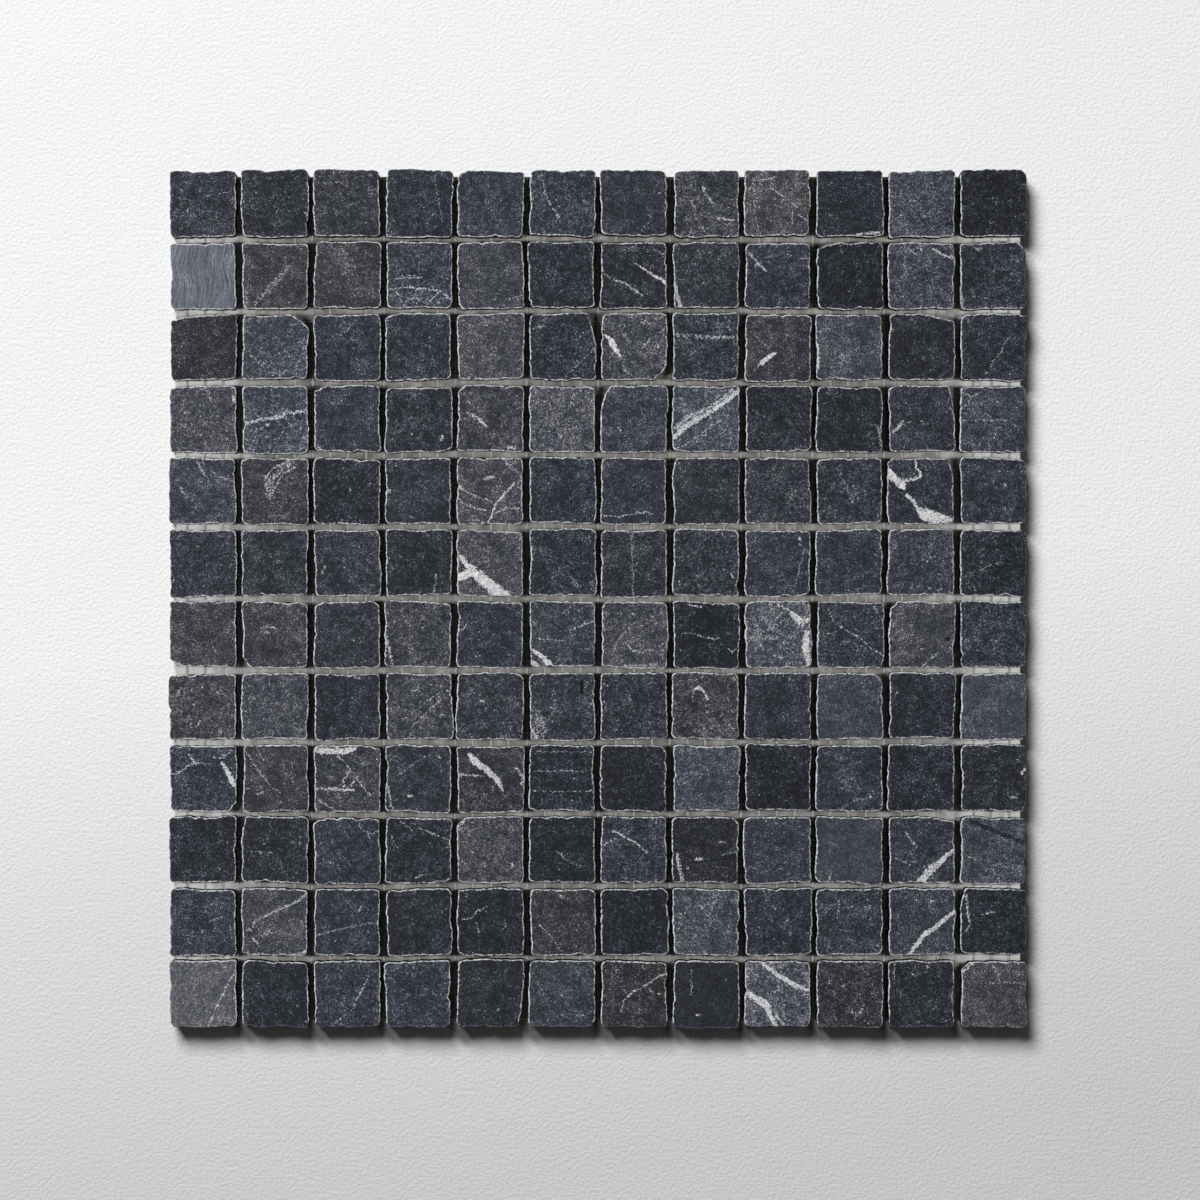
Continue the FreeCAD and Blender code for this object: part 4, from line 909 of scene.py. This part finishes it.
# Below the sheet the net's glue and the stone's dust grey the floor in smears; near the open ends of the joints it is
# painted paler instead, a painted light for the light that comes in along the joints
sheltered_plaster = plaster.copy()
sheltered_plaster.name = "dusty_plaster_with_painted_light"
tree = sheltered_plaster.node_tree
spot = add_node(tree, "SeparateXYZ", {0: add_node(tree, "TexCoord").outputs["Object"]})
# Painted light: the floor below the sheet grows paler from 0.11 m to 0.145 m either side of the middle, towards the
# joints' open ends
beside = add_node(tree, "MapRange", {"Value": add_node(tree, "Math", {0: spot.outputs["X"]}, operation="ABSOLUTE"),
                                     "From Min": 0.11, "From Max": 0.145, "To Max": 0.7})
smears = add_node(tree, "TexNoise", {"Vector": add_node(tree, "TexCoord").outputs["Object"], "Scale": 190.0,
                                     "Detail": 3.0, "Roughness": 0.6})
smears = add_node(tree, "MapRange", {"Value": smears, "From Min": 0.3, "From Max": 0.7, "To Max": 0.6})
smears_and_painted_light = add_node(tree, "Math", {0: beside, 1: smears}, operation="ADD")
smears_and_painted_light_colour = colour_ramp(tree, smears_and_painted_light, [(0.0, "#868480"), (0.35, "#adaba8"), (1.0, "#ffffff")])
tree.links.new(smears_and_painted_light_colour.outputs[0], tree.nodes["Principled BSDF"].inputs["Base Color"])
floor.data.materials.append(plaster)
sheltered.data.materials.append(sheltered_plaster)
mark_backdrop(floor, sheltered)


def area_light(name, place, aim, size, watts):
    """A rectangular soft light at a place, turned so that it faces the point it is aimed at."""
    data = bpy.data.lights.new(name, "AREA")
    data.shape = "RECTANGLE"
    data.size, data.size_y = size
    data.energy = watts
    light = bpy.data.objects.new(name, data)
    light.location = place
    direction = Vector(aim) - Vector(place)
    light.rotation_mode = "QUATERNION"
    light.rotation_quaternion = direction.to_track_quat("-Z", "Y")
    bpy.context.scene.collection.objects.link(light)
    return light


# In the photograph the stone's left arrises are the bright ones, but the shadow falls down the wall, so the stone
# and the wall each have a light of their own. Both are kept off the net and the floor below the sheet, where they
# would leave bright spots at the crossings of the joints. The steep side lights reach only those, through the
# joints that run along X.
stones, wall, under_sheet = (bpy.data.collections.new(name) for name in ("stones", "wall", "under_sheet"))
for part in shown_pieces():
    (under_sheet if part is net else stones).objects.link(part)
wall.objects.link(floor)
under_sheet.objects.link(sheltered)
lights = [
    ("key", (-1.05, 0.46, 2.1), (1.1, 1.2), 56.0, stones),
    ("wall_light", (-0.74, 1.46, 2.1), (1.1, 1.2), 77.0, wall),
    ("left_side", (-0.5, 0.0, 1.2), (0.08, 0.36), 4.5, under_sheet),
    ("right_side", (0.5, 0.0, 1.2), (0.08, 0.36), 4.5, under_sheet),
]
for name, place, size, watts, receivers in lights:
    light = area_light(name, place, (0, 0, 0), size, watts)
    light.light_linking.receiver_collection = receivers

world = bpy.data.worlds.new("studio")
world.use_nodes = True
world.node_tree.nodes["Background"].inputs["Color"].default_value = linear(BACKGROUND)
seen = add_node(world.node_tree, "LightPath").outputs["Is Camera Ray"]
glow = add_node(world.node_tree, "MapRange", {"Value": seen, "To Min": 0.05, "To Max": 1.0})
world.node_tree.links.new(glow.outputs[0], world.node_tree.nodes["Background"].inputs["Strength"])
bpy.context.scene.world = world

camera_data = bpy.data.cameras.new("camera")
camera_data.sensor_width = SENSOR
camera_data.lens = SENSOR * CAMERA_HEIGHT / PHOTO_WIDTH_AT_FACE
camera_data.clip_end = 20.0
camera = bpy.data.objects.new("camera", camera_data)
camera.location = (0.00062, -0.00044, CHIP_FACE * MM + CAMERA_HEIGHT)
bpy.context.scene.collection.objects.link(camera)
bpy.context.scene.camera = camera
bpy.context.scene.view_settings.view_transform = "Standard"
